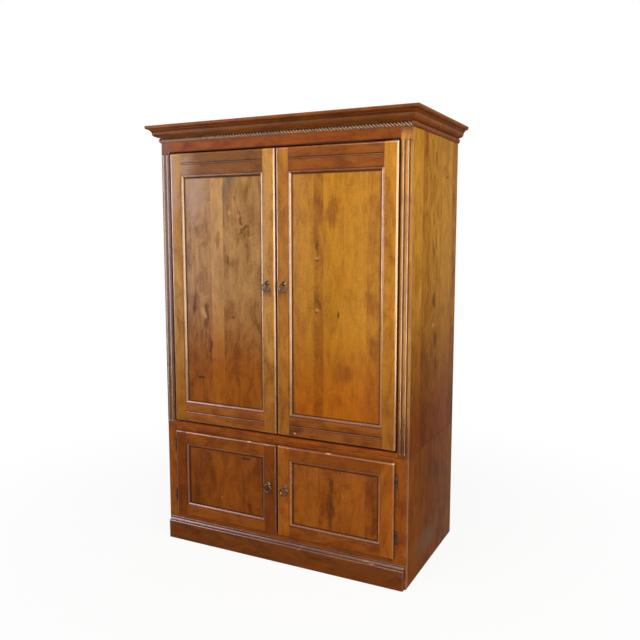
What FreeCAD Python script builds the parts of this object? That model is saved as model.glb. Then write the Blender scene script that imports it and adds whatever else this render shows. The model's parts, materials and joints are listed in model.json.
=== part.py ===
import FreeCAD, Part
import math
import operator
import os
import Sketcher

# Two-piece entertainment cabinet: an upper case with a television bay behind a pair of
# pocket doors stands on a base with two hinged doors. Millimetres, +Z up, front towards -Y.
# Every piece is drawn with the face frame's front at y = 0, and is then moved back by
# FACE, so that the middle of the whole cabinet's footprint is the origin.

SIZES = {
    # Whole cabinet
    "body_width": "1222",
    "body_depth": "665",
    "total_height": "1980",
    "seam_height": "565",
    "seam_shadow": "1.5",
    "side_thick": "20",
    "frame_thick": "20",
    "board_thick": "19",
    "back_thick": "6",
    "back_lap": "10",
    # Upper face frame
    "fluted_stile_width": "46",
    "upper_sill": "23",
    "door_gap": "5",
    "frieze_height": "101.5",
    "top_thick": "18",
    "flute_radius": "6",
    "flute_depth": "4",
    "flute_from_edge": "10",
    "flute_pitch": "20.5",
    "flute_stop": "20",
    # Cornice
    "crown_overhang": "48",
    "crown_build": "12.8",
    "crown_height": "52",
    "crown_soffit": "9",
    "crown_fillet": "2",
    "crown_ovolo": "16",
    "cove_rise": "12",
    "cove_reach": "7",
    "lip_ledge": "1.5",
    "lip_fillet": "5",
    "lip_nose": "10",
    "lip_crown_radius": "4",
    "rope_radius": "13",
    "rope_sink": "4.5",
    "rope_fillet": "3",
    "rope_drop": "12",
    # Plinth
    "plinth_thick": "19",
    "plinth_height": "81",
    "plinth_inset": "7",
    "cap_quirk": "1.5",
    "cap_bead": "7",
    "cap_cove_rise": "11",
    "cap_cove_radius": "12",
    "cap_top_bead": "4",
    "plinth_corner": "3",
    # Door frames
    "door_thick": "22",
    "door_proud": "8",
    "upper_edge_round": "10",
    "stile_flat": "60",
    "upper_head_width": "100",
    "upper_foot_width": "90",
    "sticking": "13",
    "sticking_depth": "8",
    "sticking_quirk": "1.5",
    "ovolo_radius": "12",
    "groove_depth": "11",
    "panel_thick": "6",
    "panel_tongue": "9",
    "bead_line": "48.5",
    "bead_half": "2.5",
    "bead_radius": "2.8",
    # Base front and doors
    "base_rail_reveal": "21",
    "lower_door_reveal": "52",
    "lip_width": "12",
    "lip_gap": "2.5",
    "lower_door_bottom": "128",
    "lower_door_thick": "20",
    "lower_door_proud": "12",
    "lower_edge_round": "8",
    "lower_head_width": "57",
    "lower_foot_width": "50",
    "base_rail_foot": "60",
    "shelf_height": "335",
    "shelf_setback": "40",
    "shelf_play": "1",
    "shelf_pin_radius": "3",
    "shelf_pin_length": "14",
    "shelf_pin_inset": "60",
    # Butt hinges and catches
    "hinge_from_top": "77",
    "hinge_from_foot": "92",
    "hinge_height": "60",
    "barrel_radius": "3.5",
    "barrel_lift": "0.7",
    "barrel_offset": "8",
    "hinge_pin_radius": "1.5",
    "pin_play": "0.1",
    "leaf_thick": "1.15",
    "leaf_width": "10",
    "knuckle_play": "0.4",
    "catch_width": "30",
    "catch_height": "15",
    "catch_depth": "24",
    "catch_gap": "0.3",
    "strike_thick": "1",
    # Pocket door gear
    "pivot_inset": "25",
    "pivot_setback": "3",
    "pivot_radius": "3",
    "pivot_length": "20",
    "pivot_seat": "0.3",
    "arm_thick": "2.5",
    "arm_nose": "8",
    "boss_radius": "5",
    "strip_thick": "12.5",
    "strip_width": "40",
    "strip_setback": "3",
    "track_height": "26",
    "track_depth": "14",
    "track_wall": "2",
    "track_length": "500",
    "track_end_gap": "11",
    "shoe_length": "60",
    "shoe_play": "0.4",
    # Ring pulls
    "pull_from_edge": "40",
    "upper_pull_height": "1271",
    "lower_pull_height": "358",
    "rosette_radius": "11",
    "rosette_thick": "2.5",
    "neck_radius": "4",
    "eye_reach": "14",
    "eye_radius": "6.6",
    "eye_flat": "4.2",
    "eye_width": "9",
    "eye_bore": "4",
    "ring_radius": "18.5",
    "ring_wire": "2.8",
    # Openings in the back panels
    "cable_hole_radius": "32",
    "cable_hole_inset": "150",
    "cable_hole_height": "90",
    "vent_width": "420",
    "vent_height": "26",
    "vent_pitch": "60",
    "vent_below_top": "120",
    # How far a cutting shape runs past what it cuts
    "overrun": "5",
}


class Size:
    """A length or place, held as a number and as the sheet expression that gives it."""

    def __init__(self, number, text):
        self.number = number
        self.text = text

    def __add__(self, other):
        return joined(operator.add, self, " + ", other)

    def __sub__(self, other):
        return joined(operator.sub, self, " - ", other)

    def __mul__(self, other):
        return joined(operator.mul, self, " * ", other)

    def __truediv__(self, other):
        return joined(operator.truediv, self, " / ", other)

    def __neg__(self):
        return Size(-self.number, f"(-1 * {self.text})")

    def root(self):
        return Size(math.sqrt(self.number), f"sqrt({self.text})")


def as_size(value):
    return value if isinstance(value, Size) else Size(value, str(value))


def joined(act, left, sign, right):
    left, right = as_size(left), as_size(right)
    return Size(act(left.number, right.number), f"({left.text}{sign}{right.text})")


doc = FreeCAD.newDocument("entertainment_cabinet")
sheet = doc.addObject("Spreadsheet::Sheet", "sizes")
for row, (alias, text) in enumerate(SIZES.items(), start=1):
    sheet.set(f"A{row}", text)
    sheet.setAlias(f"A{row}", alias)
doc.recompute()


def size(alias):
    return Size(float(SIZES[alias]), f"sizes.{alias}")


ZERO = Size(0, "0")
OVER = size("overrun")
FACE = (size("crown_overhang") + size("crown_build") - size("body_depth")) / 2
sub_parts = {}


def place(item, x=ZERO, y=ZERO, z=ZERO):
    for axis, where in (("x", x), ("y", y), ("z", z)):
        item.setExpression(f"Placement.Base.{axis}", where.text)


def bind(item, **sizes_of):
    for name, value in sizes_of.items():
        item.setExpression(name, value.text)


def keep(item, label):
    """Makes an object a sub-part of the cabinet under its own name."""
    item.Label = label
    sub_parts[label] = item
    return item


def block(name, x, y, z, shift=ZERO):
    """A box between a low and a high place on each axis."""
    box = doc.addObject("Part::Box", name)
    bind(box, Length=x[1] - x[0], Width=y[1] - y[0], Height=z[1] - z[0])
    place(box, x[0], y[0] + shift, z[0])
    return box


def board(label, x, y, z):
    return keep(block(label, x, y, z, FACE), label)


def rod(name, radius, length, x, y, z, axis=(0, 0, 1)):
    """A cylinder whose base centre is at the given place."""
    cylinder = doc.addObject("Part::Cylinder", name)
    cylinder.Placement.Rotation = FreeCAD.Rotation(FreeCAD.Vector(0, 0, 1), FreeCAD.Vector(*axis))
    bind(cylinder, Radius=radius, Height=length)
    place(cylinder, x, y, z)
    return cylinder


def fused(name, shapes):
    union = doc.addObject("Part::MultiFuse", name)
    union.Shapes = shapes
    return union


def cut(name, base, tool):
    result = doc.addObject("Part::Cut", name)
    result.Base = base
    result.Tool = tool
    return result


def mirrored(item, label):
    """The left-hand copy of a right-hand piece."""
    copy = doc.addObject("Part::Mirroring", label)
    copy.Source = item
    copy.Normal = FreeCAD.Vector(1, 0, 0)
    return copy


def pair(item, name):
    """Keeps a right-hand piece and its left-hand copy; the side goes where {} stands."""
    keep(item, name.format("right"))
    keep(mirrored(item, name.format("left")), name.format("left"))


def arc_geometry(start, end, radius, turn):
    """The arc from start to end; turn is 1 for counterclockwise travel and -1 for clockwise."""
    across_x, across_y = end[0] - start[0], end[1] - start[1]
    chord = math.hypot(across_x, across_y)
    reach = math.sqrt(max(radius ** 2 - (chord / 2) ** 2, 0)) / chord * turn
    centre_x = (start[0] + end[0]) / 2 - across_y * reach
    centre_y = (start[1] + end[1]) / 2 + across_x * reach
    first, last = (start, end) if turn > 0 else (end, start)
    first_angle = math.atan2(first[1] - centre_y, first[0] - centre_x)
    last_angle = math.atan2(last[1] - centre_y, last[0] - centre_x)
    if last_angle < first_angle:
        last_angle += 2 * math.pi
    circle = Part.Circle(FreeCAD.Vector(centre_x, centre_y, 0), FreeCAD.Vector(0, 0, 1), radius)
    return Part.ArcOfCircle(circle, first_angle, last_angle)


def pin_point(sketch, geometry, point, x, y):
    """Fixes a sketch point at a place read from the sheet."""
    for kind, where in (("DistanceX", x), ("DistanceY", y)):
        rule = Sketcher.Constraint(kind, -1, 1, geometry, point, where.number)
        sketch.setExpression(f"Constraints[{sketch.addConstraint(rule)}]", where.text)


def fix_radius(sketch, geometry, radius):
    rule = Sketcher.Constraint("Radius", geometry, radius.number)
    sketch.setExpression(f"Constraints[{sketch.addConstraint(rule)}]", radius.text)


def draw_loop(sketch, corners):
    """A closed outline. A corner is (x, y), or (x, y, radius, turn) where an arc reaches it."""
    ends = []
    for number, corner in enumerate(corners):
        before = corners[number - 1]
        start = (before[0].number, before[1].number)
        end = (corner[0].number, corner[1].number)
        if len(corner) == 2:
            line = Part.LineSegment(FreeCAD.Vector(*start, 0), FreeCAD.Vector(*end, 0))
            ends.append((sketch.addGeometry(line), 1, 2))
            continue
        arc = sketch.addGeometry(arc_geometry(start, end, corner[2].number, corner[3]))
        ends.append((arc, 1, 2) if corner[3] > 0 else (arc, 2, 1))
        fix_radius(sketch, arc, corner[2])
    for number, (geometry, first, last) in enumerate(ends):
        following = ends[(number + 1) % len(ends)]
        sketch.addConstraint(
            Sketcher.Constraint("Coincident", geometry, last, following[0], following[1]))
        pin_point(sketch, geometry, last, *corners[number][:2])


def draw_circle(sketch, x, y, radius):
    centre = FreeCAD.Vector(x.number, y.number, 0)
    circle = Part.Circle(centre, FreeCAD.Vector(0, 0, 1), radius.number)
    geometry = sketch.addGeometry(circle)
    pin_point(sketch, geometry, 3, x, y)
    fix_radius(sketch, geometry, radius)


def sketch_on(body, role):
    sketch = body.newObject("Sketcher::SketchObject", f"{body.Name}_outline")
    plane = next(item for item in body.Origin.OriginFeatures if item.Role == role)
    sketch.AttachmentSupport = [(plane, "")]
    sketch.MapMode = "FlatFace"
    return sketch


def padded(name, role, corners, length, other_way=None):
    """A body padded from one outline along its plane's normal, or both ways."""
    body = doc.addObject("PartDesign::Body", name)
    sketch = sketch_on(body, role)
    draw_loop(sketch, corners)
    pad = body.newObject("PartDesign::Pad", f"{name}_pad")
    pad.Profile = sketch
    bind(pad, Length=length)
    if other_way:
        pad.SideType = "Two sides"
        bind(pad, Length2=other_way)
    return body


def cut_through(body, role, loops):
    """Pockets the outlines through the whole body, both ways from their plane."""
    sketch = sketch_on(body, role)
    for loop in loops:
        draw_loop(sketch, loop)
    pocket = body.newObject("PartDesign::Pocket", f"{body.Name}_pocket")
    pocket.Profile = sketch
    pocket.SideType = "Symmetric"
    pocket.Type = "ThroughAll"


def rectangle(low_x, low_y, high_x, high_y):
    return [(low_x, low_y), (high_x, low_y), (high_x, high_y), (low_x, high_y)]


# Places that several pieces share

half_body = size("body_width") / 2
depth = size("body_depth")
side_in = half_body - size("side_thick")
frame_back = size("frame_thick")
back_front = depth - size("back_thick")
seam = size("seam_height")
base_top = seam - size("seam_shadow")
crown_bottom = size("total_height") - size("crown_height")
case_top = size("total_height") - size("lip_crown_radius") / 2 - size("top_thick")
upper_edge = half_body - size("fluted_stile_width")
sill_top = seam + size("upper_sill")
frieze_bottom = case_top - size("frieze_height")
gap = size("door_gap")
lower_edge_clear = size("lip_width") - size("lip_gap")
lower_opening_top = seam - size("base_rail_reveal") - lower_edge_clear
lower_opening_bottom = size("lower_door_bottom") + lower_edge_clear


# Case sides, face frames and panels

def case_side(name, bottom, top):
    """A side board with its front edge behind the face frame and a rebate for the back."""
    outline = [
        (half_body, frame_back), (half_body, depth),
        (half_body - size("back_lap"), depth), (half_body - size("back_lap"), back_front),
        (side_in, back_front), (side_in, frame_back),
    ]
    side = padded(name.format("right"), "XY_Plane", outline, top - bottom)
    place(side, y=FACE, z=bottom)
    pair(side, name)


case_side("base_{}_side", ZERO, base_top)
case_side("upper_{}_side", seam, case_top)

base_door_edge = half_body - size("lower_door_reveal")
base_stile_in = base_door_edge - lower_edge_clear
base_stile = block(
    "base_right_stile", (base_stile_in, half_body), (ZERO, frame_back), (ZERO, base_top), FACE)
pair(base_stile, "base_{}_stile")
base_span = (-base_stile_in, base_stile_in)
upper_span = (-upper_edge, upper_edge)
case_span = (-side_in, side_in)
back_span = (-(half_body - size("back_lap")), half_body - size("back_lap"))
in_frame = (ZERO, frame_back)
behind_frame = (frame_back, back_front)
at_back = (back_front, depth)

board("base_top_rail", base_span, in_frame, (lower_opening_top, base_top))
board("base_bottom_rail", base_span, in_frame, (size("base_rail_foot"), lower_opening_bottom))
floor_bottom = lower_opening_bottom - size("board_thick")
board("base_bottom_panel", case_span, behind_frame, (floor_bottom, lower_opening_bottom))
base_top_bottom = seam - size("board_thick")
board("base_top_panel", case_span, behind_frame, (base_top_bottom, seam))

board("upper_bottom_rail", upper_span, in_frame, (seam, sill_top))
board("frieze_rail", upper_span, in_frame, (frieze_bottom, case_top))
board("upper_deck", case_span, behind_frame, (seam, sill_top))
board("upper_top_panel", (-half_body, half_body), (ZERO, depth),
      (case_top, case_top + size("top_thick")))


# Fluted stiles

def fluted_stile():
    stile = block("stile_blank", (upper_edge, half_body), in_frame, (seam, case_top))
    low = seam + size("flute_stop")
    high = frieze_bottom - gap - size("flute_depth")
    front = size("flute_depth") - size("flute_radius")
    cutters = []
    for column in (0, 1):
        x = half_body - size("flute_from_edge") - size("flute_pitch") * column
        cutters.append(rod("flute", size("flute_radius"), high - low, x, front, low))
        for end in (low, high):
            ball = doc.addObject("Part::Sphere", "flute_end")
            bind(ball, Radius=size("flute_radius"))
            place(ball, x, front, end)
            cutters.append(ball)
    stile = cut("right_fluted_stile", stile, fused("flutes", cutters))
    place(stile, y=FACE)
    pair(stile, "{}_fluted_stile")


fluted_stile()


# Back panels with cable holes, and vents behind the television

def back_panel(label, bottom, top, hole_height, vents):
    panel = padded(label, "XZ_Plane",
                   rectangle(back_span[0], bottom, back_span[1], top), size("back_thick"))
    sketch = sketch_on(panel, "XZ_Plane")
    hole_x = half_body - size("cable_hole_inset")
    for side in (-1, 1):
        draw_circle(sketch, hole_x * side, hole_height, size("cable_hole_radius"))
    for slot in range(vents):
        low = top - size("vent_below_top") - size("vent_pitch") * slot
        half = size("vent_width") / 2
        draw_loop(sketch, rectangle(-half, low, half, low + size("vent_height")))
    pocket = panel.newObject("PartDesign::Pocket", f"{label}_pocket")
    pocket.Profile = sketch
    pocket.SideType = "Symmetric"
    pocket.Type = "ThroughAll"
    place(panel, y=FACE + depth)
    keep(panel, label)


back_panel("base_back_panel", floor_bottom, seam,
           lower_opening_bottom + size("cable_hole_height"), 0)
back_panel("upper_back_panel", seam + size("seam_shadow"), case_top,
           sill_top + size("cable_hole_height"), 4)


# Plinth board with its moulded cap

def plinth():
    thick = size("plinth_thick")
    face = size("plinth_height")
    quirk = size("cap_quirk")
    bead_back = thick - quirk - size("cap_bead")
    bead_top = face + size("cap_bead")
    cove_start = bead_top + quirk
    cove_top = cove_start + size("cap_cove_rise")
    top_bead = size("cap_top_bead")
    outline = [
        (ZERO, ZERO), (-thick, ZERO), (-thick, face), (-(thick - quirk), face),
        (-bead_back, bead_top, size("cap_bead"), -1),
        (-bead_back, cove_start),
        (-top_bead, cove_top, size("cap_cove_radius"), 1),
        (-top_bead, cove_top + quirk),
        (ZERO, cove_top + quirk + top_bead, top_bead, -1),
    ]
    end = half_body - size("plinth_inset")
    moulding = padded("plinth_moulding", "YZ_Plane", outline, end, end)
    corner = size("plinth_corner")
    loops = []
    for side in (-1, 1):
        inner = (end - corner) * side
        loops.append([
            (inner, -(thick + OVER)), ((end + OVER) * side, -(thick + OVER)),
            ((end + OVER) * side, corner - thick), (end * side, corner - thick),
            (inner, -thick, corner, -side),
        ])
    cut_through(moulding, "XY_Plane", loops)
    place(moulding, y=FACE)
    keep(moulding, "plinth_moulding")


plinth()


# Cornice: a mitred crown, a bead under its returns and a rope moulding under its front

def crown_outline(out, from_back):
    """The crown's profile; out turns a distance from its back into the sketch's x."""
    height = size("crown_height")
    reach = size("crown_overhang")
    soffit = size("crown_soffit")
    ovolo = size("crown_ovolo")
    cove_foot = size("crown_fillet") + ovolo
    cove_top = cove_foot + size("cove_rise")
    spread, rise = size("cove_reach"), size("cove_rise")
    cove = (spread * spread + rise * rise) / (spread * 2)
    cove_end = soffit + ovolo + spread
    lip_in = cove_end + size("lip_ledge")
    lip_foot = cove_top + size("lip_fillet")
    nose = size("lip_nose")
    top = size("lip_crown_radius")
    turn = 1 if out(reach).number > 0 else -1
    outline = [
        (from_back, ZERO), (out(soffit), ZERO), (out(soffit), size("crown_fillet")),
        (out(soffit + ovolo), cove_foot, ovolo, turn),
        (out(cove_end), cove_top, cove, -turn),
        (out(lip_in), cove_top), (out(lip_in), lip_foot), (out(reach - nose), lip_foot),
        (out(reach), lip_foot + nose, nose, turn),
        (out(reach), height - top), (out(reach - top), height, top, turn),
        (from_back, height),
    ]
    return [(x, crown_bottom + z, *arc) for x, z, *arc in outline]


rope_proud = size("rope_radius") - size("rope_sink")


def bead_outline(out, from_back):
    """Less than half of a round bar, whose middle lies behind the face."""
    radius, sink, fillet = size("rope_radius"), size("rope_sink"), size("rope_fillet")
    turn = 1 if out(radius).number > 0 else -1
    foot = (radius * radius - sink * sink).root()
    rise = (radius * radius - (sink + fillet) * (sink + fillet)).root()
    centre = crown_bottom - size("rope_drop")
    return [
        (from_back, centre - foot),
        (out(rope_proud), centre, radius, turn),
        (out(fillet), centre + rise, radius, turn),
        (out(fillet), crown_bottom), (from_back, crown_bottom),
    ]


def mitre_waste(side, build, reach):
    """What lies outside the mitre of a front piece at one end, in plan."""
    end = (half_body + reach + OVER) * side
    return [
        (half_body * side, OVER), (half_body * side, -build),
        (end, -(build + reach + OVER)), (end, OVER),
    ]


def cornice():
    build = size("crown_build")
    reach = size("crown_overhang")
    front = padded("front_cornice", "YZ_Plane",
                   crown_outline(lambda away: -(build + away), ZERO),
                   half_body + reach, half_body + reach)
    cut_through(front, "XY_Plane", [mitre_waste(side, build, reach) for side in (-1, 1)])
    place(front, y=FACE)
    keep(front, "front_cornice")
    rope = padded("rope_moulding", "YZ_Plane", bead_outline(lambda away: -away, ZERO),
                  half_body + rope_proud, half_body + rope_proud)
    cut_through(rope, "XY_Plane", [mitre_waste(side, ZERO, rope_proud) for side in (-1, 1)])
    place(rope, y=FACE)
    keep(rope, "rope_moulding")
    pieces = []
    for name, outline, pad_front, proud in (
            ("return_crown", crown_outline, build + reach, build),
            ("return_bead", bead_outline, rope_proud, ZERO)):
        piece = padded(name, "XZ_Plane",
                       outline(lambda away: half_body + away, half_body), pad_front, depth)
        wide = pad_front - proud + OVER
        cut_through(piece, "XY_Plane", [[
            (half_body - OVER, -(proud - OVER)), (half_body + wide, -(proud + wide)),
            (half_body - OVER, -(proud + wide))]])
        pieces.append(piece)
    returned = fused("right_cornice", pieces)
    place(returned, y=FACE)
    pair(returned, "{}_cornice")


cornice()


# Door frames: stile and rail with mitred sticking round a flat panel

def upper_section(across, flat, beaded):
    """Section of an upper door's frame member; across turns its width into a sketch axis."""
    front = -size("door_proud")
    back = size("door_thick") - size("door_proud")
    edge = size("upper_edge_round")
    turn = 1 if across(flat).number > 0 else -1
    outline = [(across(ZERO), back), (across(ZERO), front + edge),
               (across(edge), front, edge, turn)]
    if beaded:
        line, half = size("bead_line"), size("bead_half")
        outline += [(across(line - half), front),
                    (across(line + half), front, size("bead_radius"), turn * -1)]
    return outline + sticking(across, flat, front, back, turn)


def lower_section(across, flat, rebated):
    """Section of a lower door's frame member, whose lip laps the face frame."""
    front = -size("lower_door_proud")
    back = size("lower_door_thick") - size("lower_door_proud")
    edge = size("lower_edge_round")
    turn = 1 if across(flat).number > 0 else -1
    outline = [(across(ZERO), back)]
    if rebated:
        outline = [(across(size("lip_width")), back),
                   (across(size("lip_width")), -size("lip_gap")),
                   (across(ZERO), -size("lip_gap"))]
    outline += [(across(ZERO), front + edge), (across(edge), front, edge, turn)]
    return outline + sticking(across, flat, front, back, turn)


def sticking(across, flat, front, back, turn):
    """The inner edge: a quirk, an ovolo, and the groove that holds the panel."""
    sight = flat + size("sticking")
    panel_front = front + size("sticking_depth")
    panel_back = panel_front + size("panel_thick")
    bottom = sight - size("groove_depth")
    quirk = size("sticking_quirk")
    return [
        (across(flat), front), (across(flat), front + quirk),
        (across(sight), panel_front - quirk, size("ovolo_radius"), turn),
        (across(sight), panel_front), (across(bottom), panel_front),
        (across(bottom), panel_back), (across(sight), panel_back), (across(sight), back),
    ]


def swapped(outline):
    """The same outline with its two axes exchanged, so arcs turn the other way."""
    return [(corner[1], corner[0], *([corner[2], -corner[3]] if len(corner) > 2 else []))
            for corner in outline]


def door_stile(name, section, side, style, height, top_rail, bottom_rail):
    """A stile seen from its outer edge; side is the way its width runs along X."""
    flat = size("stile_flat")
    body = padded(name, "XY_Plane", section(lambda away: away * side, flat), height)
    tip = size("sticking") + OVER
    inner, outer = flat * side, (flat + tip) * side
    cut_through(body, "XZ_Plane", [
        [(inner, -OVER), (inner, bottom_rail), (outer, bottom_rail + tip), (outer, -OVER)],
        [(inner, height + OVER), (inner, height - top_rail), (outer, height - top_rail - tip),
         (outer, height + OVER)]])
    front, back, edge = style["front"], style["back"], style["edge"]
    loops = [
        [(front - OVER, -OVER), (front + edge, -OVER), (front + edge, ZERO),
         (front, edge, edge, -1), (front - OVER, edge)],
        [(front - OVER, height + OVER), (front + edge, height + OVER), (front + edge, height),
         (front, height - edge, edge, 1), (front - OVER, height - edge)]]
    if style["lip"]:
        lip = size("lip_width")
        loops.append(rectangle(-size("lip_gap"), -OVER, back + OVER, lip))
        loops.append(rectangle(-size("lip_gap"), height - lip, back + OVER, height + OVER))
    cut_through(body, "YZ_Plane", loops)
    return body


def door_rail(name, section, side, flat, length):
    """A rail between the stiles; side is the way its width runs along Z."""
    body = padded(name, "YZ_Plane", swapped(section(lambda away: away * side, flat)), length)
    tip = size("sticking") + OVER
    inner, outer = flat * side, (flat + tip) * side
    cut_through(body, "XZ_Plane", [
        [(ZERO, inner), (tip, outer), (-OVER, outer), (-OVER, inner)],
        [(length, inner), (length - tip, outer), (length + OVER, outer), (length + OVER, inner)]])
    return body


def door(level, style):
    """The right-hand door of a pair and its left-hand copy."""
    low_x, high_x = gap / 2, style["edge_x"]
    low_z, high_z = style["low"], style["high"]
    height = high_z - low_z
    flat = size("stile_flat")
    top_rail, bottom_rail = style["top_rail"], style["bottom_rail"]

    def named(piece):
        return f"{level}_right_door_{piece}"

    outer = door_stile(named("outer_stile"), style["outer"], -1, style, height, top_rail,
                       bottom_rail)
    if "bores" in style:
        style["bores"](outer, height)
    place(outer, high_x, FACE, low_z)
    inner = door_stile(named("inner_stile"), style["inner"], 1, style, height, top_rail,
                       bottom_rail)
    place(inner, low_x, FACE, low_z)
    length = high_x - low_x - flat * 2
    upper = door_rail(named("top_rail"), style["rail"], -1, top_rail, length)
    place(upper, low_x + flat, FACE, high_z)
    lower = door_rail(named("bottom_rail"), style["rail"], 1, bottom_rail, length)
    place(lower, low_x + flat, FACE, low_z)
    inset = size("sticking") - size("panel_tongue")
    panel_front = style["front"] + size("sticking_depth")
    panel = block(
        named("panel"), (low_x + flat + inset, high_x - flat - inset),
        (panel_front, panel_front + size("panel_thick")),
        (low_z + bottom_rail + inset, high_z - top_rail - inset), FACE)
    for piece, body in (("outer_stile", outer), ("inner_stile", inner), ("top_rail", upper),
                        ("bottom_rail", lower), ("panel", panel)):
        pair(body, f"{level}_{{}}_door_{piece}")


def pivot_bores(body, height):
    """Blind bores in a stile's two ends, on the door's turning axis."""
    deep = size("pivot_length") + size("pivot_seat")
    for start, up in ((ZERO, True), (height, False)):
        sketch = sketch_on(body, "XY_Plane")
        sketch.setExpression("AttachmentOffset.Base.z", start.text)
        draw_circle(sketch, -size("pivot_inset"), size("pivot_setback"),
                    size("pivot_radius") + size("pin_play"))
        pocket = body.newObject("PartDesign::Pocket", f"{body.Name}_bore")
        pocket.Profile = sketch
        pocket.Reversed = up
        bind(pocket, Length=deep)


upper_low = sill_top + gap
upper_high = frieze_bottom - gap
upper_edge_x = upper_edge - gap
door("upper", {
    "edge_x": upper_edge_x, "low": upper_low, "high": upper_high,
    "top_rail": size("upper_head_width"), "bottom_rail": size("upper_foot_width"),
    "front": -size("door_proud"), "back": size("door_thick") - size("door_proud"),
    "edge": size("upper_edge_round"), "lip": False, "bores": pivot_bores,
    "outer": lambda across, flat: upper_section(across, flat, False),
    "inner": lambda across, flat: upper_section(across, flat, False),
    "rail": lambda across, flat: upper_section(across, flat, True),
})
lower_low = size("lower_door_bottom")
lower_high = seam - size("base_rail_reveal")
lower_face = -size("lower_door_proud")
lower_back = size("lower_door_thick") - size("lower_door_proud")
door("lower", {
    "edge_x": base_door_edge, "low": lower_low, "high": lower_high,
    "top_rail": size("lower_head_width"), "bottom_rail": size("lower_foot_width"),
    "front": lower_face, "back": lower_back,
    "edge": size("lower_edge_round"), "lip": True,
    "outer": lambda across, flat: lower_section(across, flat, True),
    "inner": lambda across, flat: lower_section(across, flat, False),
    "rail": lambda across, flat: lower_section(across, flat, True),
})


# Pocket door gear: channel tracks on the case sides, and a carriage that runs in them

def pocket_gear():
    pin_x = upper_edge_x - size("pivot_inset")
    pin_y = size("pivot_setback")
    strip_y = (frame_back + size("strip_setback"),
               frame_back + size("strip_setback") + size("strip_width"))
    track_in = side_in - size("track_depth")
    strip_x = (track_in - size("shoe_play") - size("strip_thick"), track_in - size("shoe_play"))
    slack = (gap - size("arm_thick")) / 2
    diagonal = (size("arm_nose") * size("arm_nose") / 2).root()
    arm_outline = [
        (pin_x - diagonal, pin_y + diagonal),
        (pin_x - diagonal, pin_y - diagonal, size("arm_nose"), 1),
        (pin_x + diagonal, pin_y - diagonal, size("arm_nose"), 1),
        (strip_x[1], strip_x[1] - pin_x - diagonal * 2 + pin_y),
        (strip_x[1], strip_y[1]), (strip_x[0], strip_y[1]),
        (strip_x[0], strip_x[0] - pin_x + diagonal * 2 + pin_y),
    ]
    low_arm = upper_low - gap + slack
    high_arm = upper_high + slack
    pieces = [block("follower_strip", strip_x, strip_y, (low_arm, high_arm + size("arm_thick")))]
    for arm_bottom in (low_arm, high_arm):
        arm = padded("pivot_arm", "XY_Plane", arm_outline, size("arm_thick"))
        place(arm, z=arm_bottom)
        pieces.append(arm)
    pin = size("pivot_radius")
    reach = size("pivot_length") + slack
    pieces.append(rod("low_pin", pin, reach, pin_x, pin_y, upper_low - slack))
    pieces.append(rod("high_pin", pin, reach, pin_x, pin_y, upper_high - size("pivot_length")))
    seat = slack - size("pivot_seat")
    pieces.append(rod("low_boss", size("boss_radius"), seat, pin_x, pin_y, upper_low - slack))
    pieces.append(rod("high_boss", size("boss_radius"), seat, pin_x, pin_y,
                      upper_high + size("pivot_seat")))
    half_track = size("track_height") / 2
    track_y = (frame_back + size("track_wall"), frame_back + size("track_wall")
               + size("track_length"))
    tracks = []
    for middle in (sill_top + size("track_end_gap") + half_track,
                   frieze_bottom - size("track_end_gap") - half_track):
        wall = size("track_wall")
        channel = padded("pocket_track", "XZ_Plane", [
            (track_in, middle - half_track), (side_in, middle - half_track),
            (side_in, middle + half_track), (track_in, middle + half_track),
            (track_in, middle + half_track - wall), (side_in - wall, middle + half_track - wall),
            (side_in - wall, middle - half_track + wall), (track_in, middle - half_track + wall),
        ], size("track_length"))
        place(channel, y=track_y[1])
        tracks.append(channel)
        shoe_half = half_track - wall - size("shoe_play")
        pieces.append(block(
            "shoe", (strip_x[1], side_in - wall - size("shoe_play")),
            (strip_y[0], strip_y[0] + size("shoe_length")),
            (middle - shoe_half, middle + shoe_half)))
    carriage = fused("right_door_carriage", pieces)
    place(carriage, y=FACE)
    pair(carriage, "{}_door_carriage")
    right_tracks = fused("right_tracks", tracks)
    place(right_tracks, y=FACE)
    keep(fused("pocket_tracks", [right_tracks, mirrored(right_tracks, "left_tracks")]),
         "pocket_tracks")


pocket_gear()


# Butt hinges of the lower doors

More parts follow.
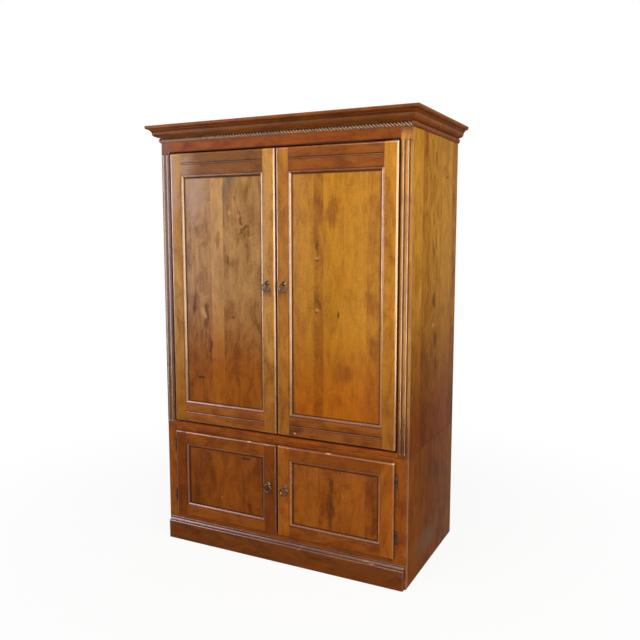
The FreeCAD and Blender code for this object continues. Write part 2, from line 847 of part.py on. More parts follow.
def butt_hinges():
    axis_x = base_door_edge + size("barrel_offset")
    axis_y = -(size("barrel_radius") + size("barrel_lift"))
    knuckle = size("hinge_height") / 3
    play = size("knuckle_play")
    leaf_out = base_door_edge
    leaf_in = leaf_out - size("leaf_width") + size("knuckle_play")
    thick = size("leaf_thick")
    case_leaf = (-thick, ZERO)
    door_leaf = (-size("lip_gap"), thick - size("lip_gap"))
    case_leaves, door_leaves = [], []
    for middle in (lower_low + size("hinge_from_foot"), lower_high - size("hinge_from_top")):
        low = middle - size("hinge_height") / 2
        high = middle + size("hinge_height") / 2
        ends = ((low, low + knuckle - play), (high - knuckle + play, high))
        centre = (low + knuckle, high - knuckle)
        pieces = [block("case_leaf", (leaf_in + play, leaf_out), case_leaf, (low, high))]
        for start, stop in ends:
            pieces.append(rod("case_knuckle", size("barrel_radius"), stop - start, axis_x,
                              axis_y, start))
            pieces.append(block("case_tab", (leaf_out, axis_x), case_leaf, (start, stop)))
        pieces.append(rod("hinge_pin", size("hinge_pin_radius"), high - low, axis_x, axis_y, low))
        case_leaves.append(fused("case_hinge", pieces))
        leaf = fused("door_hinge", [
            block("door_leaf", (leaf_in, leaf_out), door_leaf, (low, high)),
            block("door_tab", (leaf_out, axis_x), door_leaf, centre),
            rod("door_knuckle", size("barrel_radius"), centre[1] - centre[0], axis_x, axis_y,
                centre[0]),
        ])
        bore = rod("knuckle_bore", size("hinge_pin_radius") + size("pin_play"), high - low,
                   axis_x, axis_y, low)
        door_leaves.append(cut("bored_hinge", leaf, bore))
    strike_x = (gap, gap + size("catch_width"))
    strike_top = lower_opening_top - size("lip_gap") * 2
    strike = block("strike_plate", strike_x, (lower_back, lower_back + size("strike_thick")),
                   (strike_top - size("catch_height"), strike_top))
    right_case = fused("right_case_hinges", case_leaves)
    place(right_case, y=FACE)
    keep(fused("case_hinge_leaves", [right_case, mirrored(right_case, "left_case_hinges")]),
         "case_hinge_leaves")
    right_door = fused("lower_right_door_fittings", door_leaves + [strike])
    place(right_door, y=FACE)
    pair(right_door, "lower_{}_door_fittings")
    face = lower_back + size("strike_thick") + size("catch_gap")
    stem = frame_back
    top = base_top_bottom
    outline = [
        (face, strike_top - size("catch_height")),
        (stem + size("catch_depth"), strike_top - size("catch_height")),
        (stem + size("catch_depth"), top), (stem, top), (stem, strike_top), (face, strike_top),
    ]
    catch = padded("right_catch", "YZ_Plane", outline, size("catch_width"))
    place(catch, strike_x[0], FACE)
    keep(fused("magnetic_catches", [catch, mirrored(catch, "left_catch")]), "magnetic_catches")


butt_hinges()


# Adjustable shelf on four pins

def shelf():
    low = size("shelf_height")
    across = (-(side_in - size("shelf_play")), side_in - size("shelf_play"))
    board("adjustable_shelf", across, (size("shelf_setback"), back_front - size("shelf_play")),
          (low, low + size("board_thick")))
    pins = []
    for y in (size("shelf_setback") + size("shelf_pin_inset"),
              back_front - size("shelf_pin_inset")):
        pins.append(rod("shelf_pin", size("shelf_pin_radius"), size("shelf_pin_length"),
                        side_in - size("shelf_pin_length"), y,
                        low - size("shelf_pin_radius"), (1, 0, 0)))
    right_pins = fused("right_pins", pins)
    place(right_pins, y=FACE)
    keep(fused("shelf_pins", [right_pins, mirrored(right_pins, "left_pins")]), "shelf_pins")


shelf()


# Ring pulls: a turned post whose lug is bored for a loose ring

BEND = 15


def bent_round(radius):
    """An outline that goes round in short straight lengths."""
    return [(radius * Size(math.cos(math.radians(turn)), f"cos({turn})"),
             radius * Size(math.sin(math.radians(turn)), f"sin({turn})"))
            for turn in range(0, 360, BEND)]


def pull_ring(label):
    """A ring of flat faces: its wire has eight sides."""
    wire, radius = size("ring_wire"), size("ring_radius")
    ring = padded(label, "XZ_Plane", bent_round(radius + wire), wire, wire)
    cut_through(ring, "XZ_Plane", [bent_round(radius - wire)])
    doc.recompute()
    blank = ring.Tip
    flats = [f"Face{number}" for number, face in enumerate(blank.Shape.Faces, start=1)
             if len(face.Wires) > 1]
    corners = ring.newObject("PartDesign::Chamfer", f"{label}_corners")
    corners.Base = (blank, flats)
    bind(corners, Size=wire * 2 / (Size(2, "2").root() + 2))
    return ring


def ring_pull(level, face, height):
    middle = gap / 2 + size("pull_from_edge")
    reach, width = size("eye_reach"), size("eye_width")
    radius, neck = size("rosette_radius"), size("neck_radius")
    thick = size("rosette_thick")
    turned = doc.addObject("PartDesign::Body", f"{level}_turned_post")
    sketch = sketch_on(turned, "XY_Plane")
    far, flat = size("eye_radius"), size("eye_flat")
    draw_loop(sketch, [
        (ZERO, ZERO), (radius, ZERO), (radius, -thick), (neck, -thick), (neck, far - reach),
        (ZERO, far - reach)])
    turning = turned.newObject("PartDesign::Revolution", f"{level}_turning")
    turning.Profile = sketch
    turning.ReferenceAxis = (sketch, ["V_Axis"])
    turning.Angle = 360
    lug = padded("eye_lug", "YZ_Plane", [
        (far - reach, -flat), (far - reach, flat), (flat - reach, far), (-(reach + flat), far),
        (-(reach + far), flat), (-(reach + far), -flat), (-(reach + flat), -far),
        (flat - reach, -far)], width / 2, width / 2)
    bore = rod("eye_bore", size("eye_bore"), width + OVER * 2, -(width / 2 + OVER), -reach, ZERO,
               (1, 0, 0))
    post = cut(f"{level}_right_pull_post", fused("post_blank", [turned, lug]), bore)
    place(post, middle, FACE + face, height)
    pair(post, f"{level}_{{}}_pull_post")
    ring = pull_ring(f"{level}_right_pull_ring")
    place(ring, middle, FACE + face - reach, height - size("ring_radius"))
    pair(ring, f"{level}_{{}}_pull_ring")


ring_pull("upper", -size("door_proud"), size("upper_pull_height"))
ring_pull("lower", lower_face, size("lower_pull_height"))


# Check every object, then write one file for each sub-part

doc.recompute()
for item in doc.Objects:
    if "Invalid" in item.State or "Error" in item.State:
        raise RuntimeError(f"{item.Label} did not build: {item.State}")
    if item.TypeId == "PartDesign::Pocket" and item.Shape.Volume >= item.BaseFeature.Shape.Volume:
        raise RuntimeError(f"{item.Label} cuts nothing")
for label, item in sub_parts.items():
    if item.Shape.isNull() or not item.Shape.isValid() or not item.Shape.Solids:
        raise RuntimeError(f"{label} is not a valid solid")

os.makedirs("parts", exist_ok=True)
for label, item in sub_parts.items():
    item.Shape.exportStep(f"parts/{label}.step")
print(f"{len(sub_parts)} sub-parts")
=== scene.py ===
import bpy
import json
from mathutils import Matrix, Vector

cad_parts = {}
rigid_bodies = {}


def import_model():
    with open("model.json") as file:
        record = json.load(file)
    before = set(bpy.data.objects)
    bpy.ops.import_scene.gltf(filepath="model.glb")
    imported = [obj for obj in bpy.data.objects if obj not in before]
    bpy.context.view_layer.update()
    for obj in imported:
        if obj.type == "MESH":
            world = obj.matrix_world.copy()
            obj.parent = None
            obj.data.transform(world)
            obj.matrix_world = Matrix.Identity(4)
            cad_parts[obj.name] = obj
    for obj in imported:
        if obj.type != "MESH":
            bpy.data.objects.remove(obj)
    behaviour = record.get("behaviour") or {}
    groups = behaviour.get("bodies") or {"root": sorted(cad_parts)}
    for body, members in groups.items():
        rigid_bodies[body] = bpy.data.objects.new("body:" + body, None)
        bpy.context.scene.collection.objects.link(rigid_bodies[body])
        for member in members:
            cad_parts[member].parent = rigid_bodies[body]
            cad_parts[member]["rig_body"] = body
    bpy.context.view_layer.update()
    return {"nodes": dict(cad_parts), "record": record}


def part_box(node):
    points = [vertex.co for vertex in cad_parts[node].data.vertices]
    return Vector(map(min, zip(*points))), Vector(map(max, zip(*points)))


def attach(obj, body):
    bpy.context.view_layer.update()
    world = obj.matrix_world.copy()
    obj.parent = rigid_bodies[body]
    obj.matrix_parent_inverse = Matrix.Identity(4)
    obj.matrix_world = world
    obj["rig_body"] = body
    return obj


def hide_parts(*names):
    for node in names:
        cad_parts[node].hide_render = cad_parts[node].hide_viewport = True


bl_info = {
    "name": "Entertainment cabinet",
    "version": (1, 0, 0),
    "blender": (4, 5, 0),
    "location": "3D View > Sidebar > Cabinet",
    "description": "Dresses a two-piece television cabinet in stained maple, bronze and steel",
    "category": "Object",
}

import json
import math

import bpy
from bpy.props import FloatProperty, FloatVectorProperty, IntProperty, PointerProperty
from mathutils import Matrix, Vector

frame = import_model()

# Units and names

MM = 0.001
DEGREE = math.pi / 180
SIDES = ("left", "right")
LEVELS = ("upper", "lower")

# Sizes that the solids have, and that their boxes don't tell
STICKING = 13 * MM
BEAD_LINE, BEAD_HALF = 48.5 * MM, 3.4 * MM
FLUTE_DEPTH = 4 * MM
ROPE_RADIUS, ROPE_DROP, ROPE_FILLET = 13 * MM, 12 * MM, 3 * MM


def linear(code):
    """An sRGB hex colour as linear light."""
    parts = [int(code[at:at + 2], 16) / 255 for at in (1, 3, 5)]
    return tuple(part / 12.92 if part <= 0.04045 else ((part + 0.055) / 1.055) ** 2.4
                 for part in parts)


# Settings that a user would change

def colour_setting(name, description, code):
    return FloatVectorProperty(name=name, description=description, default=linear(code),
                               size=3, min=0, max=1, subtype="COLOR")


def lacquer_setting(name, where, gloss, level):
    return FloatVectorProperty(name=name, description=f"Roughness and specular level {where}",
                               default=(gloss, level), size=2, min=0, max=1)


def length_setting(name, description, default, low, high):
    """A length whose default and limits are given in millimetres."""
    return FloatProperty(name=name, description=description, default=default * MM,
                         min=low * MM, max=high * MM, unit="LENGTH")


def power_setting(name, description, default):
    return FloatProperty(name=name, description=description, default=default, min=0, max=2000,
                         unit="POWER")


class CabinetWood(bpy.types.PropertyGroup):
    """The stained and lacquered maple."""

    arris: length_setting("Arris", "Width of the sanded edge between two faces", 1.2, 0, 5)
    streak: length_setting("Streak", "Width of one streak of grain", 2.6, 0.5, 20)
    cloud: length_setting("Cloud", "Width of a cloud in the stain", 60, 5, 300)
    contrast: FloatProperty(
        name="Contrast", description="How much the boards, clouds and streaks differ",
        default=1.5, min=0, max=2, subtype="FACTOR")
    satin: lacquer_setting("Satin lacquer", "of flat faces", 0.34, 0.045)
    matt: lacquer_setting("Matt lacquer", "of both cases' sides and the crown's", 0.5, 0.02)
    soft: lacquer_setting("Soft lacquer", "of the crown's moulded faces", 0.42, 0.14)
    burnished: lacquer_setting("Burnished lacquer", "of moulded and rounded faces", 0.2, 0.5)


class CabinetMetal(bpy.types.PropertyGroup):
    """The bronze pulls and hinges, and the steel inside."""

    bronze: colour_setting("Bronze", "Dark patina of the pulls and hinges", "#2b2521")
    rubbed: colour_setting("Rubbed bronze", "Bronze where fingers have worn it", "#86725f")
    steel: colour_setting("Zinc plate", "Tracks, catches and pins", "#4c4d50")
    black: colour_setting("Blackened steel", "Carriages of the pocket doors", "#161617")


class CabinetRope(bpy.types.PropertyGroup):
    """The rope moulding under the crown."""

    pitch: length_setting("Pitch", "Distance from one strand to the next", 15, 4, 60)
    strands: IntProperty(name="Strands", description="Strands in the rope", default=3, min=2,
                         max=6)
    relief: length_setting("Relief", "Depth of the valley between two strands", 5.4, 0, 6)


class CabinetStage(bpy.types.PropertyGroup):
    """The lights."""

    ambient: FloatProperty(name="Ambient", description="Light from all round", default=0.24,
                           min=0, max=3)
    key: power_setting("Key", "Power of the overhead light", 84)
    right: power_setting("Right", "Power of the high light on the right", 34)
    left: power_setting("Left", "Power of the soft light on the left", 14)
    cream_card: FloatProperty(
        name="Cream card", description="Brightness of the reflectors on the right and in"
        " front, which only gloss shows", default=54, min=0, max=200)
    cool_card: FloatProperty(
        name="Cool card", description="Brightness of the reflector on the left, which only"
        " gloss shows", default=34, min=0, max=200)


# Shader tools

# Noise is nearly always between these
NOISE_LOW, NOISE_HIGH = 0.3, 0.7


def feed(node, inputs):
    """Sets a node's inputs, by name or in order, to values, to sockets, or to the first
    outputs of nodes."""
    for name, value in inputs.items() if isinstance(inputs, dict) else enumerate(inputs):
        if isinstance(value, bpy.types.Node):
            value = value.outputs[0]
        if isinstance(value, bpy.types.NodeSocket):
            node.id_data.links.new(value, node.inputs[name])
        else:
            node.inputs[name].default_value = value


def add(tree, kind, inputs=(), **settings):
    """Adds a shader node."""
    node = tree.nodes.new(f"ShaderNode{kind}")
    for name, value in settings.items():
        setattr(node, name, value)
    feed(node, inputs)
    return node


def new_material(name, colour):
    """A material with an empty tree, its Principled shader and its output."""
    material = bpy.data.materials.new(name)
    material.use_nodes = True
    material.diffuse_color = (*colour, 1)
    tree = material.node_tree
    tree.nodes.clear()
    shader = add(tree, "BsdfPrincipled", {"Base Color": (*colour, 1)})
    add(tree, "OutputMaterial", {"Surface": shader})
    return material, tree, shader


def shaded(colour, value, warmth):
    """A colour made darker or lighter, and redder or yellower."""
    red, green, blue = colour
    return (min(red * value, 1), min(green * value / warmth, 1),
            min(blue * value / warmth ** 2, 1), 1)


# Wood

# A mark is (x or y across, height, half width, half height, kind), in millimetres. Most kinds
# are what maple shows under stain: a grey mineral streak that stops at the glue line, a dark
# figure, the rings round a knot, a small fleck, a light eye, a patch that took more stain, one
# that took less, and a chip in the finish. Two are painted light: a painted sheen, where the
# lacquer reflects a cool light, and painted grey shading near the floor. Each has its colour,
# its strength and how ragged its outline is.
MARK_KINDS = {
    "mineral": ("#6e5b46", 0.75, 0.3), "figure": ("#4a240c", 0.7, 0.9),
    "swirl": ("#552a0e", 0.7, 0.45),
    "fleck": ("#2e1608", 0.8, 0.4), "eye": ("#cf9a5c", 0.6, 0.4),
    "patch": ("#7c3a0c", 0.55, 0.6), "pale": ("#d3a068", 0.45, 0.6),
    # The first kind on the next line is a painted sheen, the reflection of a cool light, and the
    # second is painted shading near the floor
    "bloom": ("#b9977c", 0.6, 0.3), "painted_floor_shading": ("#6b5743", 0.5, 0.5),
    "chip": ("#dcb68a", 0.85, 0.25),
}
CRISP_MARKS = ("fleck", "eye", "chip")
# How far noise moves the other marks across and up, in metres, and how fine the noise is
DRIFT, DRIFT_SCALE = (0.05, 0.12, 0), 17.0
EMPTY = ()

# Patterns in the stain: (setting for the width, times that, times longer along the grain,
# detail, distortion)
PATTERNS = {
    "streaks": ("streak", 1, 22, 4, 0), "bands": ("streak", 6, 14, 3, 0.8),
    "clouds": ("cloud", 1, 2.2, 5, 1.2), "curl": ("streak", 5, 0.5, 3, 0.6),
    "rays": ("streak", 0.55, 6, 1, 0), "rub": ("streak", 5, 1.5, 3, 0),
}
# How much the patterns and a board's own tone change the stain, and how far along the grain
# the tone moves the patterns, in metres
WEIGHTS = {"clouds": 0.85, "bands": 0.3, "streaks": 0.3, "curl": 0.3}
BOARD_WEIGHT, BOARD_SHIFT = 0.6, 9.0
# The stain from its darkest to its lightest: (value, lightness, warmth)
SHADES = ((0.0, 0.42, 1.26), (0.3, 0.74, 1.1), (0.5, 1.0, 1.0), (0.72, 1.22, 0.97),
          (1.0, 1.5, 0.93))
# The stain where wear, also a painted highlight, lightens it, and where glazing and painted
# shade darken it: (lightness, warmth)
WEAR_AND_HIGHLIGHT_STAIN, GLAZE_AND_SHADE_STAIN = (1.9, 0.95), (0.14, 1.15)
# The most of the stain that wear, also a painted highlight, and glazing, also painted shade,
# hide, and the noise where the finish is rubbed
WEAR_AND_HIGHLIGHT_MOST, GLAZE_AND_SHADE_MOST, RUB_LOW, RUB_HIGH = 0.55, 0.85, 0.42, 0.62
# Painted shadow is whole over this share of its line's width, and ends within this length
SHADOW_CORE, SHADOW_END = 0.3, 2 * MM
# Where a mark begins to fade and is gone, in shares of its size. Rings: how far apart, and
# where one begins and is darkest
MARK_WHOLE, MARK_GONE = 0.25, 1.1
RING_APART, RING_LIGHT, RING_DARK = 0.3, 0.05, 0.28
LACQUER_IOR, LACQUER_SPREAD = 1.5, 0.1
BUMP_STRENGTH, BUMP_DEPTH = 0.12, 0.4 * MM


class Wood:
    """How one piece of maple looks: its grain, stain, glued-up boards and marks. Foot and
    head are (start, end, colour) in millimetres, where the colour changes with height; a
    darker foot is partly painted shade."""

    def __init__(self, grain, stain, boards=EMPTY, marks=EMPTY, foot=EMPTY, head=EMPTY,
                 clouds=1.0):
        self.grain = grain
        self.stain = stain
        self.boards = boards
        self.marks = marks
        self.fades = [fade for fade in (foot, head) if fade]
        self.clouds = clouds


def board_tone(tree, across, boards):
    """A tone for each glued-up board. A board is (far edge in mm, tone from 0 to 1), and the
    first entry only gives the near edge of them all."""
    low, high = boards[0][0], boards[-1][0]
    share = add(tree, "MapRange", [across, low * MM, high * MM])
    ramp = add(tree, "ValToRGB", [share])
    ramp.color_ramp.interpolation = "CONSTANT"
    stops = ramp.color_ramp.elements
    start = low
    for number, (edge, tone) in enumerate(boards[1:]):
        place = (start - low) / (high - low)
        stop = stops[number] if number < 2 else stops.new(place)
        stop.position = place
        stop.color = (tone, tone, tone, 1)
        start = edge
    return ramp


def mark_mask(tree, place, warp, mark):
    """Soft-edged ellipse of a mark, its outline broken up by the grain, or rings in it."""
    x, z, half_width, half_height, kind = mark
    ragged = MARK_KINDS[kind][2]
    away = add(tree, "VectorMath", [place, (x * MM, z * MM, 0)], operation="SUBTRACT")
    share = add(tree, "VectorMath", [away, (1 / (half_width * MM), 1 / (half_height * MM), 0)],
                operation="MULTIPLY")
    length = add(tree, "VectorMath", [share], operation="LENGTH")
    broken = add(tree, "Math", [warp, ragged * 4, length.outputs["Value"]],
                 operation="MULTIPLY_ADD")
    edge = ragged * 2
    mask = add(tree, "MapRange", [broken, MARK_WHOLE + edge, MARK_GONE + edge, 1.0, 0.0],
               interpolation_type="SMOOTHSTEP")
    if kind != "swirl":
        return mask
    rings = add(tree, "Math", [broken, RING_APART], operation="PINGPONG")
    dark = add(tree, "MapRange", [rings, RING_LIGHT, RING_DARK],
               interpolation_type="SMOOTHSTEP")
    return add(tree, "Math", [mask, dark], operation="MULTIPLY")


def shadow_line_mask(tree, axes, line):
    """Painted shadow along a quirk, a gap or an edge. A line is (axis, place, half width,
    low end, high end), in metres."""
    axis, place, half, low, high = line
    masks = []
    for where, middle, inner, outer in (
            (axes["xyz".index(axis)], place, half * SHADOW_CORE, half),
            (axes[0] if axis == "z" else axes[2], (low + high) / 2, (high - low) / 2,
             (high - low) / 2 + SHADOW_END)):
        away = add(tree, "Math", [where, middle], operation="SUBTRACT")
        far = add(tree, "Math", [away], operation="ABSOLUTE")
        masks.append(add(tree, "MapRange", [far, inner, outer, 1.0, 0.0],
                         interpolation_type="SMOOTHSTEP"))
    return add(tree, "Math", [masks[0], masks[1]], operation="MULTIPLY")


def lay_grain(tree, axes, wood, box, seed):
    """Where a point is in the grain, which starts elsewhere on each board. Also gives the
    axis across the boards, and their tones."""
    along = axes["xyz".index(wood.grain)]
    sideways = box[1].x - box[0].x < box[1].y - box[0].y
    across = axes[{"x": 2, "y": 0, "z": int(sideways)}[wood.grain]]
    through = next(axis for axis in axes if axis not in (along, across))
    tone, shift = None, seed
    if wood.boards:
        tone = board_tone(tree, across, wood.boards)
        shift = add(tree, "Math", [tone, BOARD_SHIFT, seed], operation="MULTIPLY_ADD")
    moved = add(tree, "Math", [along, shift])
    grain = add(tree, "CombineXYZ", {"X": across, "Y": through, "Z": moved})
    return grain, across, tone


def draw_patterns(tree, grain, look):
    """Noise for each pattern in the stain."""
    drawn = {}
    for name, (setting, times, stretch, detail, distortion) in PATTERNS.items():
        width = getattr(look, setting) * times
        scaled = add(tree, "VectorMath", [grain, (1 / width, 1 / width,
                                                  1 / (width * stretch))],
                     operation="MULTIPLY")
        drawn[name] = add(tree, "TexNoise", {"Vector": scaled, "Scale": 1.0, "Detail": detail,
                                             "Roughness": 0.55, "Distortion": distortion})
    return drawn


def clouded(tree, wood, stain, drawn, tone, contrast):
    """The stain, darker and redder or lighter and yellower from place to place."""
    layers = [(drawn[name], share * contrast * (wood.clouds if name == "clouds" else 1))
              for name, share in WEIGHTS.items()]
    if tone is not None:
        layers.append((tone, BOARD_WEIGHT * contrast))
    value = 0.5
    for layer, weight in layers:
        value = add(tree, "Math", [layer, weight, value], operation="MULTIPLY_ADD")
    centred = add(tree, "Math", [value, 0.5 * sum(weight for _, weight in layers)],
                  operation="SUBTRACT")
    ramp = add(tree, "ValToRGB", [centred])
    stops = ramp.color_ramp.elements
    for number, (where, light, warmth) in enumerate(SHADES):
        stop = stops[number] if number < 2 else stops.new(where)
        stop.position = where
        stop.color = shaded(stain, light, warmth)
    return ramp


def faded(tree, wood, stain, height, colour):
    """The colour, changed with height as the wood's foot and head say. A darker foot is
    partly painted shade.
    """
    for start, end, code in wood.fades:
        share = add(tree, "MapRange", [height, start * MM, end * MM],
                    interpolation_type="SMOOTHSTEP")
        ratio = [goal / own for goal, own in zip(linear(code), stain)]
        most = max(*ratio, 1)
        tinted = colour
        for factor in ([part / most for part in ratio], [most] * 3):
            tinted = add(tree, "Mix", {0: 1.0, 6: tinted, 7: (*factor, 1)}, data_type="RGBA",
                         blend_type="MULTIPLY").outputs[2]
        colour = add(tree, "Mix", {0: share, 6: colour, 7: tinted},
                     data_type="RGBA").outputs[2]
    return colour


def mark_layers(tree, wood, axes, across, drawn):
    """The mask and the colour of each mark."""
    if not wood.marks:
        return []
    both = add(tree, "Math", [drawn["streaks"], drawn["bands"]])
    warp = add(tree, "Math", [both, 0.5], operation="MULTIPLY")
    flat = add(tree, "CombineXYZ", {"X": axes[0] if wood.grain == "x" else across,
                                    "Y": axes[2]})
    bent = add(tree, "TexNoise", {"Vector": flat, "Scale": DRIFT_SCALE, "Detail": 2.0})
    middled = add(tree, "VectorMath", [bent.outputs["Color"], (0.5, 0.5, 0.5)],
                  operation="SUBTRACT")
    drift = add(tree, "VectorMath", [middled, DRIFT], operation="MULTIPLY")
    drifted = add(tree, "VectorMath", [flat, drift])
    layers = []
    for mark in wood.marks:
        middle, kind = mark[0], mark[4]
        code, strength, _ = MARK_KINDS[kind]
        mask = mark_mask(tree, flat if kind in CRISP_MARKS else drifted, warp, mark)
        if kind == "mineral":
            seam = max(edge for edge, _ in wood.boards if edge < middle)
            beyond = add(tree, "Math", [across, seam * MM], operation="GREATER_THAN")
            mask = add(tree, "Math", [mask, beyond], operation="MULTIPLY")
        held = add(tree, "Math", [mask, strength], operation="MULTIPLY")
        layers.append((held, (*linear(code), 1)))
    return layers


def wear_glaze_and_light_layers(tree, axes, stain, rub, lines):
    """The finish rubbed thin on the arrises, here and there, which also paints a highlight
    there, and dark glazing with painted shade in the bottoms of the carving, and painted
    shadow along the lines."""
    worn = add(tree, "Attribute", attribute_name="worn").outputs["Fac"]
    patchy = add(tree, "MapRange", [rub, RUB_LOW, RUB_HIGH])
    rubbed = add(tree, "Math", [worn, patchy], operation="MULTIPLY")
    thin = add(tree, "Math", [rubbed, WEAR_AND_HIGHLIGHT_MOST], operation="MULTIPLY")
    dark = add(tree, "Attribute", attribute_name="hollow").outputs["Fac"]
    for line in lines:
        dark = add(tree, "Math", [dark, shadow_line_mask(tree, axes, line)], operation="MAXIMUM")
    deep = add(tree, "Math", [dark, GLAZE_AND_SHADE_MOST], operation="MULTIPLY")
    return [(thin, shaded(stain, *WEAR_AND_HIGHLIGHT_STAIN)),
            (deep, shaded(stain, *GLAZE_AND_SHADE_STAIN))]


def stained_maple(name, wood, box, lines=EMPTY):
    """Maple boards, planed and sanded, stained and sprayed with lacquer. Maple takes stain in
    clouds, its growth rings are faint, and its pores are too fine to see."""
    look = bpy.context.scene.cabinet_wood
    stain = linear(wood.stain)
    material, tree, shader = new_material(name, stain)
    place = add(tree, "TexCoord").outputs["Object"]
    axes = add(tree, "SeparateXYZ", [place]).outputs
    seed = sum(ord(letter) for letter in name) % 97 * 0.37
    grain, across, tone = lay_grain(tree, axes, wood, box, seed)
    drawn = draw_patterns(tree, grain, look)
    colour = clouded(tree, wood, stain, drawn, tone, look.contrast)
    colour = faded(tree, wood, stain, axes[2], colour)
    for mask, paint in (*mark_layers(tree, wood, axes, across, drawn),
                        *wear_glaze_and_light_layers(tree, axes, stain, drawn["rub"], lines)):
        colour = add(tree, "Mix", {0: mask, 6: colour, 7: paint}, data_type="RGBA").outputs[2]
    rough = add(tree, "MapRange", [drawn["rays"], NOISE_LOW, NOISE_HIGH], name="gloss")
    height = add(tree, "Math", [drawn["streaks"], 0.6, drawn["rays"]],
                 operation="MULTIPLY_ADD")
    bump = add(tree, "Bump", {"Strength": BUMP_STRENGTH, "Distance": BUMP_DEPTH,
                              "Height": height})
    feed(shader, {"Base Color": colour, "Roughness": rough, "IOR": LACQUER_IOR,
                  "Normal": bump})
    return lacquered(material, look.satin), lacquered(material.copy(), look.burnished)


def lacquered(material, finish):
    """Sets a wood's roughness and specular level."""
    gloss, level = finish
    nodes = material.node_tree.nodes
    nodes["gloss"].inputs[3].default_value = gloss
    nodes["gloss"].inputs[4].default_value = gloss + LACQUER_SPREAD
    next(node for node in nodes if node.type == "BSDF_PRINCIPLED").inputs[
        "Specular IOR Level"].default_value = level
    return material


# The upper case is honey-brown above and redder and darker below, and the base is the darkest:
# partly stain, and partly painted shade where less light falls low down
WOODS = {
    "upper_left_door_panel": Wood(
        "z", "#a57a46",
        boards=((-500, 0.5), (-452, 0.4), (-342, 0.46), (-278, 0.76), (-60, 0.42)),
        # A painted sheen at the upper left, where the lacquer reflects the cool light
        marks=((-440, 1740, 110, 240, "bloom"),
               (-246, 1770, 40, 110, "mineral"), (-260, 1650, 22, 90, "mineral"),
               (-287, 1700, 5, 130, "pale"), (-243, 1579, 13, 18, "eye"),
               (-212, 1640, 9, 22, "figure"), (-196, 1590, 9, 30, "figure"),
               (-178, 1545, 12, 22, "figure"), (-176, 1505, 24, 12, "figure"),
               (-160, 1470, 34, 60, "swirl"), (-250, 1548, 9, 22, "mineral"),
               (-306, 1455, 22, 50, "patch"), (-252, 1376, 5, 22, "fleck"),
               (-432, 1165, 18, 70, "figure"), (-370, 1010, 30, 170, "swirl"),
               (-372, 1120, 16, 60, "figure"), (-362, 960, 14, 90, "figure"),
               (-394, 1115, 18, 30, "pale"), (-410, 816, 30, 7, "fleck"),
               (-227, 1108, 14, 7, "fleck"), (-420, 1500, 20, 24, "mineral")),
        foot=(1300, 820, "#904f0a")),
    "upper_right_door_panel": Wood(
        "z", "#b4781a", clouds=0.75,
        boards=((60, 0.5), (181, 0.5), (226, 0.3), (425, 0.56), (500, 0.42)),
        marks=((206, 1770, 18, 60, "patch"), (212, 1600, 12, 90, "patch"),
               (200, 1384, 15, 8, "eye"), (199, 1373, 14, 4, "fleck"),
               (199, 1163, 14, 9, "eye"), (197, 1151, 12, 4, "fleck"),
               (204, 1205, 9, 34, "figure"), (204, 1420, 8, 30, "figure"),
               (297, 1147, 6, 18, "fleck"), (270, 1560, 30, 90, "patch"),
               (445, 1192, 26, 80, "patch"), (460, 1010, 24, 70, "patch"),
               (330, 900, 60, 60, "patch")),
        foot=(1200, 720, "#a85c05")),
    "upper_right_side": Wood(
        "z", "#b98029",
        boards=((-330, 0.5), (-155, 0.62), (-52, 0.34), (115, 0.48), (276, 0.58), (380, 0.3)),
        marks=((-113, 1860, 40, 90, "patch"), (24, 1815, 14, 40, "figure"),
               (199, 1737, 20, 7, "fleck"), (6, 1560, 10, 70, "figure"),
               (40, 1470, 12, 60, "figure"), (10, 1400, 16, 70, "figure"),
               (48, 1330, 14, 50, "figure"), (30, 1205, 26, 50, "figure"),
               (26, 1275, 16, 9, "eye"), (16, 1085, 20, 14, "eye"),
               (50, 1010, 30, 60, "figure"), (60, 900, 20, 60, "figure"),
               (301, 1644, 10, 60, "figure"), (323, 1480, 8, 90, "figure"),
               (310, 1380, 8, 60, "figure"), (312, 1265, 12, 60, "figure")),
        foot=(1500, 600, "#6d3405")),
    "base_right_side": Wood(
        "z", "#733d08",
        boards=((-330, 0.5), (-150, 0.6), (-50, 0.45), (110, 0.4), (276, 0.3), (380, 0.5)),
        marks=((100, 400, 60, 60, "figure"), (60, 430, 12, 90, "figure"),
               # Painted grey shading low on the side, near the floor
               (-30, 120, 200, 90, "painted_floor_shading"))),
}


